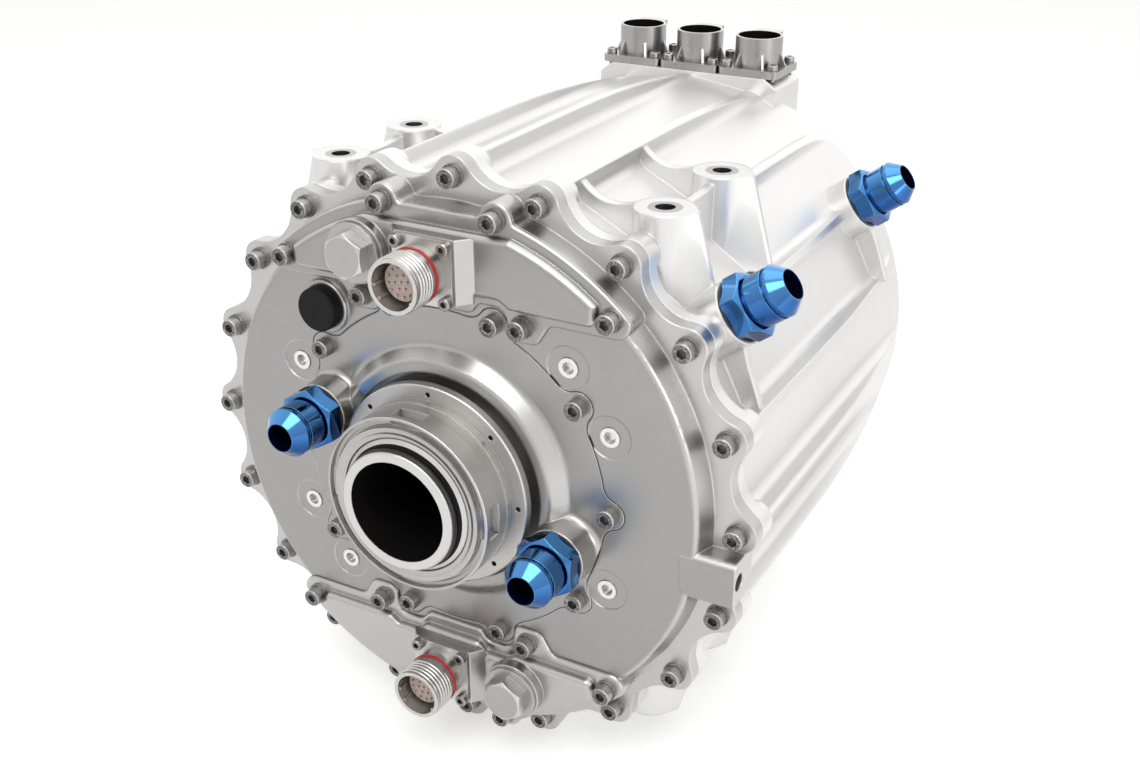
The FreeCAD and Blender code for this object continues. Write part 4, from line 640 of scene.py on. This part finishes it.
def keys(name, z):
    """Polarising ribs inside the barrel of the connector at height z."""
    work = bmesh.new()
    base = BARREL_BORE_R + KEY_SUNK
    top, narrow = base - KEY_RISE, KEY_HALF_W * KEY_TOP_SHARE
    section = ((base, -KEY_HALF_W), (top, -narrow), (top, narrow), (base, KEY_HALF_W))
    for degrees in KEY_DEGREES:
        a = math.radians(degrees)
        front, back = ([work.verts.new((r * math.cos(a) - side * math.sin(a), y,
                                        z + r * math.sin(a) + side * math.cos(a))) for r, side in section]
                       for y in (MOUTH_Y + KEY_FROM_MOUTH, BLOCK_Y))
        join_rows(work, front, back)
        work.faces.new(front)
    return mesh_of(work, name, smooth=False)


def on_outline(vert):
    """Whether a point of the bearing cover is on its front face, outside the ring round the shaft."""
    return abs(vert.co.y - FACE_Y) <= FACE_TOLERANCE and math.hypot(vert.co.x, vert.co.z) >= OUTLINE_LEAST_R


def cover_outline():
    """Points along the outline of the bearing cover's front face, in order.

    The bosses of the front fittings cut the outline in two, and this is the stretch above them.
    """
    work = bmesh.new()
    work.from_mesh(nodes["bearing_cover"].data)
    bmesh.ops.remove_doubles(work, verts=work.verts, dist=SAME_POINT)
    bmesh.ops.recalc_face_normals(work, faces=work.faces)
    near = {}
    for edge in work.edges:
        a, b = edge.verts
        flat = [abs(face.normal.y) > FLAT_ENOUGH for face in edge.link_faces]
        if on_outline(a) and on_outline(b) and sorted(flat) == [False, True]:
            near.setdefault(a, []).append(b)
            near.setdefault(b, []).append(a)
    stretches = []
    ends_first = sorted(near, key=lambda vert: len(near[vert]))
    left = dict.fromkeys(ends_first)
    while left:
        after = [next(iter(left))]
        stretch = []
        while after:
            at = after[0]
            del left[at]
            stretch.append(at.co.copy())
            after = [vert for vert in near[at] if vert in left]
        stretches.append(stretch)
    work.free()
    upper = [stretch for stretch in stretches if sum(at.z for at in stretch) > 0.0]
    return max(upper, key=len)


def gap_shadow_line(name):
    """Thin black bead in the gap beside the bearing cover: a painted shadow that shows as a dark line.

    The straight run that closes it crosses from boss to boss inside the motor.
    """
    outline = cover_outline()
    curve = bpy.data.curves.new(name, "CURVE")
    curve.dimensions = "3D"
    spline = curve.splines.new("POLY")
    spline.points.add(len(outline) - 1)
    for point, at in zip(spline.points, outline):
        out = Vector((at.x, 0.0, at.z)).normalized() * BEAD_OUT
        point.co = (at.x + out.x, FACE_Y + BEAD_BEHIND, at.z + out.z, 1.0)
    spline.use_cyclic_u = True
    curve.bevel_depth = BEAD_R
    curve.bevel_resolution = BEAD_ROUNDING
    return curve


def trim(finishes):
    """Small pieces that are too fine for the solids."""
    kinds = (("thread", thread, "connector_alloy", "connector_alloy"),
             ("pins", pins, "pin_gold", "contact_metal"),
             ("pin_block", pin_block, "insert_plastic", "insert_plastic"),
             ("keys", keys, "connector_alloy", "connector_alloy"))
    for side, z in (("upper", CONNECTOR_Z), ("lower", -CONNECTOR_Z)):
        for kind, make, look, slot in kinds:
            name = side + "_connector_" + kind
            piece(name, make(name, z), finishes[look])
    # Painted shadow: a black bead in the gap beside the bearing cover
    name = "bearing_cover_joint_line"
    piece(name, gap_shadow_line(name), finishes["gap_shadow_black"])


def floor():
    """Pale floor that keeps the shadow."""
    half = FLOOR_SIZE / 2
    corners = [(-half, -half, 0.0), (half, -half, 0.0), (half, half, 0.0), (-half, half, 0.0)]
    mesh = bpy.data.meshes.new("floor")
    mesh.from_pydata(corners, [], [range(4)])
    material = bpy.data.materials.new("floor_white")
    material.use_nodes = True
    mesh.materials.append(material)
    main = material.node_tree.nodes["Principled BSDF"].inputs
    tree = Tree(material.node_tree)
    tree.put(main["Base Color"], FLOOR_WHITE)
    tree.put(main["Roughness"], FLOOR_ROUGHNESS)
    tree.put(main["Specular IOR Level"], 0.0)
    tree.put(main["Emission Color"], (1.0, 1.0, 1.0))
    tree.put(main["Emission Strength"], tree.lift(FLOOR_LIFT))
    shown = bpy.data.objects.new("floor", mesh)
    shown.location = (0.0, 0.0, FLOOR_Z)
    scene.collection.objects.link(shown)


def room():
    """World that is brighter above and behind the motor than in front of it."""
    world = bpy.data.worlds.new("room")
    scene.world = world
    world.use_nodes = True
    tree = Tree(world.node_tree)
    way = tree.add("ShaderNodeTexCoord").outputs["Generated"]
    rise = tree.spread(tree.vector("DOT_PRODUCT", way, ROOM_BRIGHT_WAY), *ROOM_STRENGTH, *ROOM_TURN)
    sky = world.node_tree.nodes["Background"].inputs
    tree.put(sky["Color"], ROOM_WHITE)
    tree.put(sky["Strength"], tree.math("ADD", rise, tree.lift(ROOM_LIFT)))


def lamp(name, at, aim, size, size_y, watts):
    """Soft rectangular lamp at a place, turned towards what it aims at."""
    light = bpy.data.lights.new(name, "AREA")
    light.shape = "RECTANGLE"
    light.size = size
    light.size_y = size_y
    light.energy = watts
    shown = bpy.data.objects.new(name, light)
    shown.location = at
    shown.rotation_euler = (Vector(aim) - Vector(at)).to_track_quat("-Z", "Y").to_euler()
    scene.collection.objects.link(shown)


def camera():
    """Camera at the photograph's viewing angle."""
    data = bpy.data.cameras.new("camera")
    data.sensor_width = SENSOR_MM
    data.lens = LENS_MM
    data.clip_start = NEAREST_SEEN
    shown = bpy.data.objects.new("camera", data)
    right = Vector(UP).cross(CAMERA_BACK).normalized()
    up = CAMERA_BACK.cross(right).normalized()
    turn = Matrix((right, up, CAMERA_BACK.normalized())).transposed()
    shown.matrix_world = Matrix.Translation(CAMERA_AT) @ turn.to_4x4()
    scene.collection.objects.link(shown)
    scene.camera = shown


trim(dress())
floor()
room()
for lamp_name, settings in LAMPS.items():
    lamp(lamp_name, **settings)
camera()
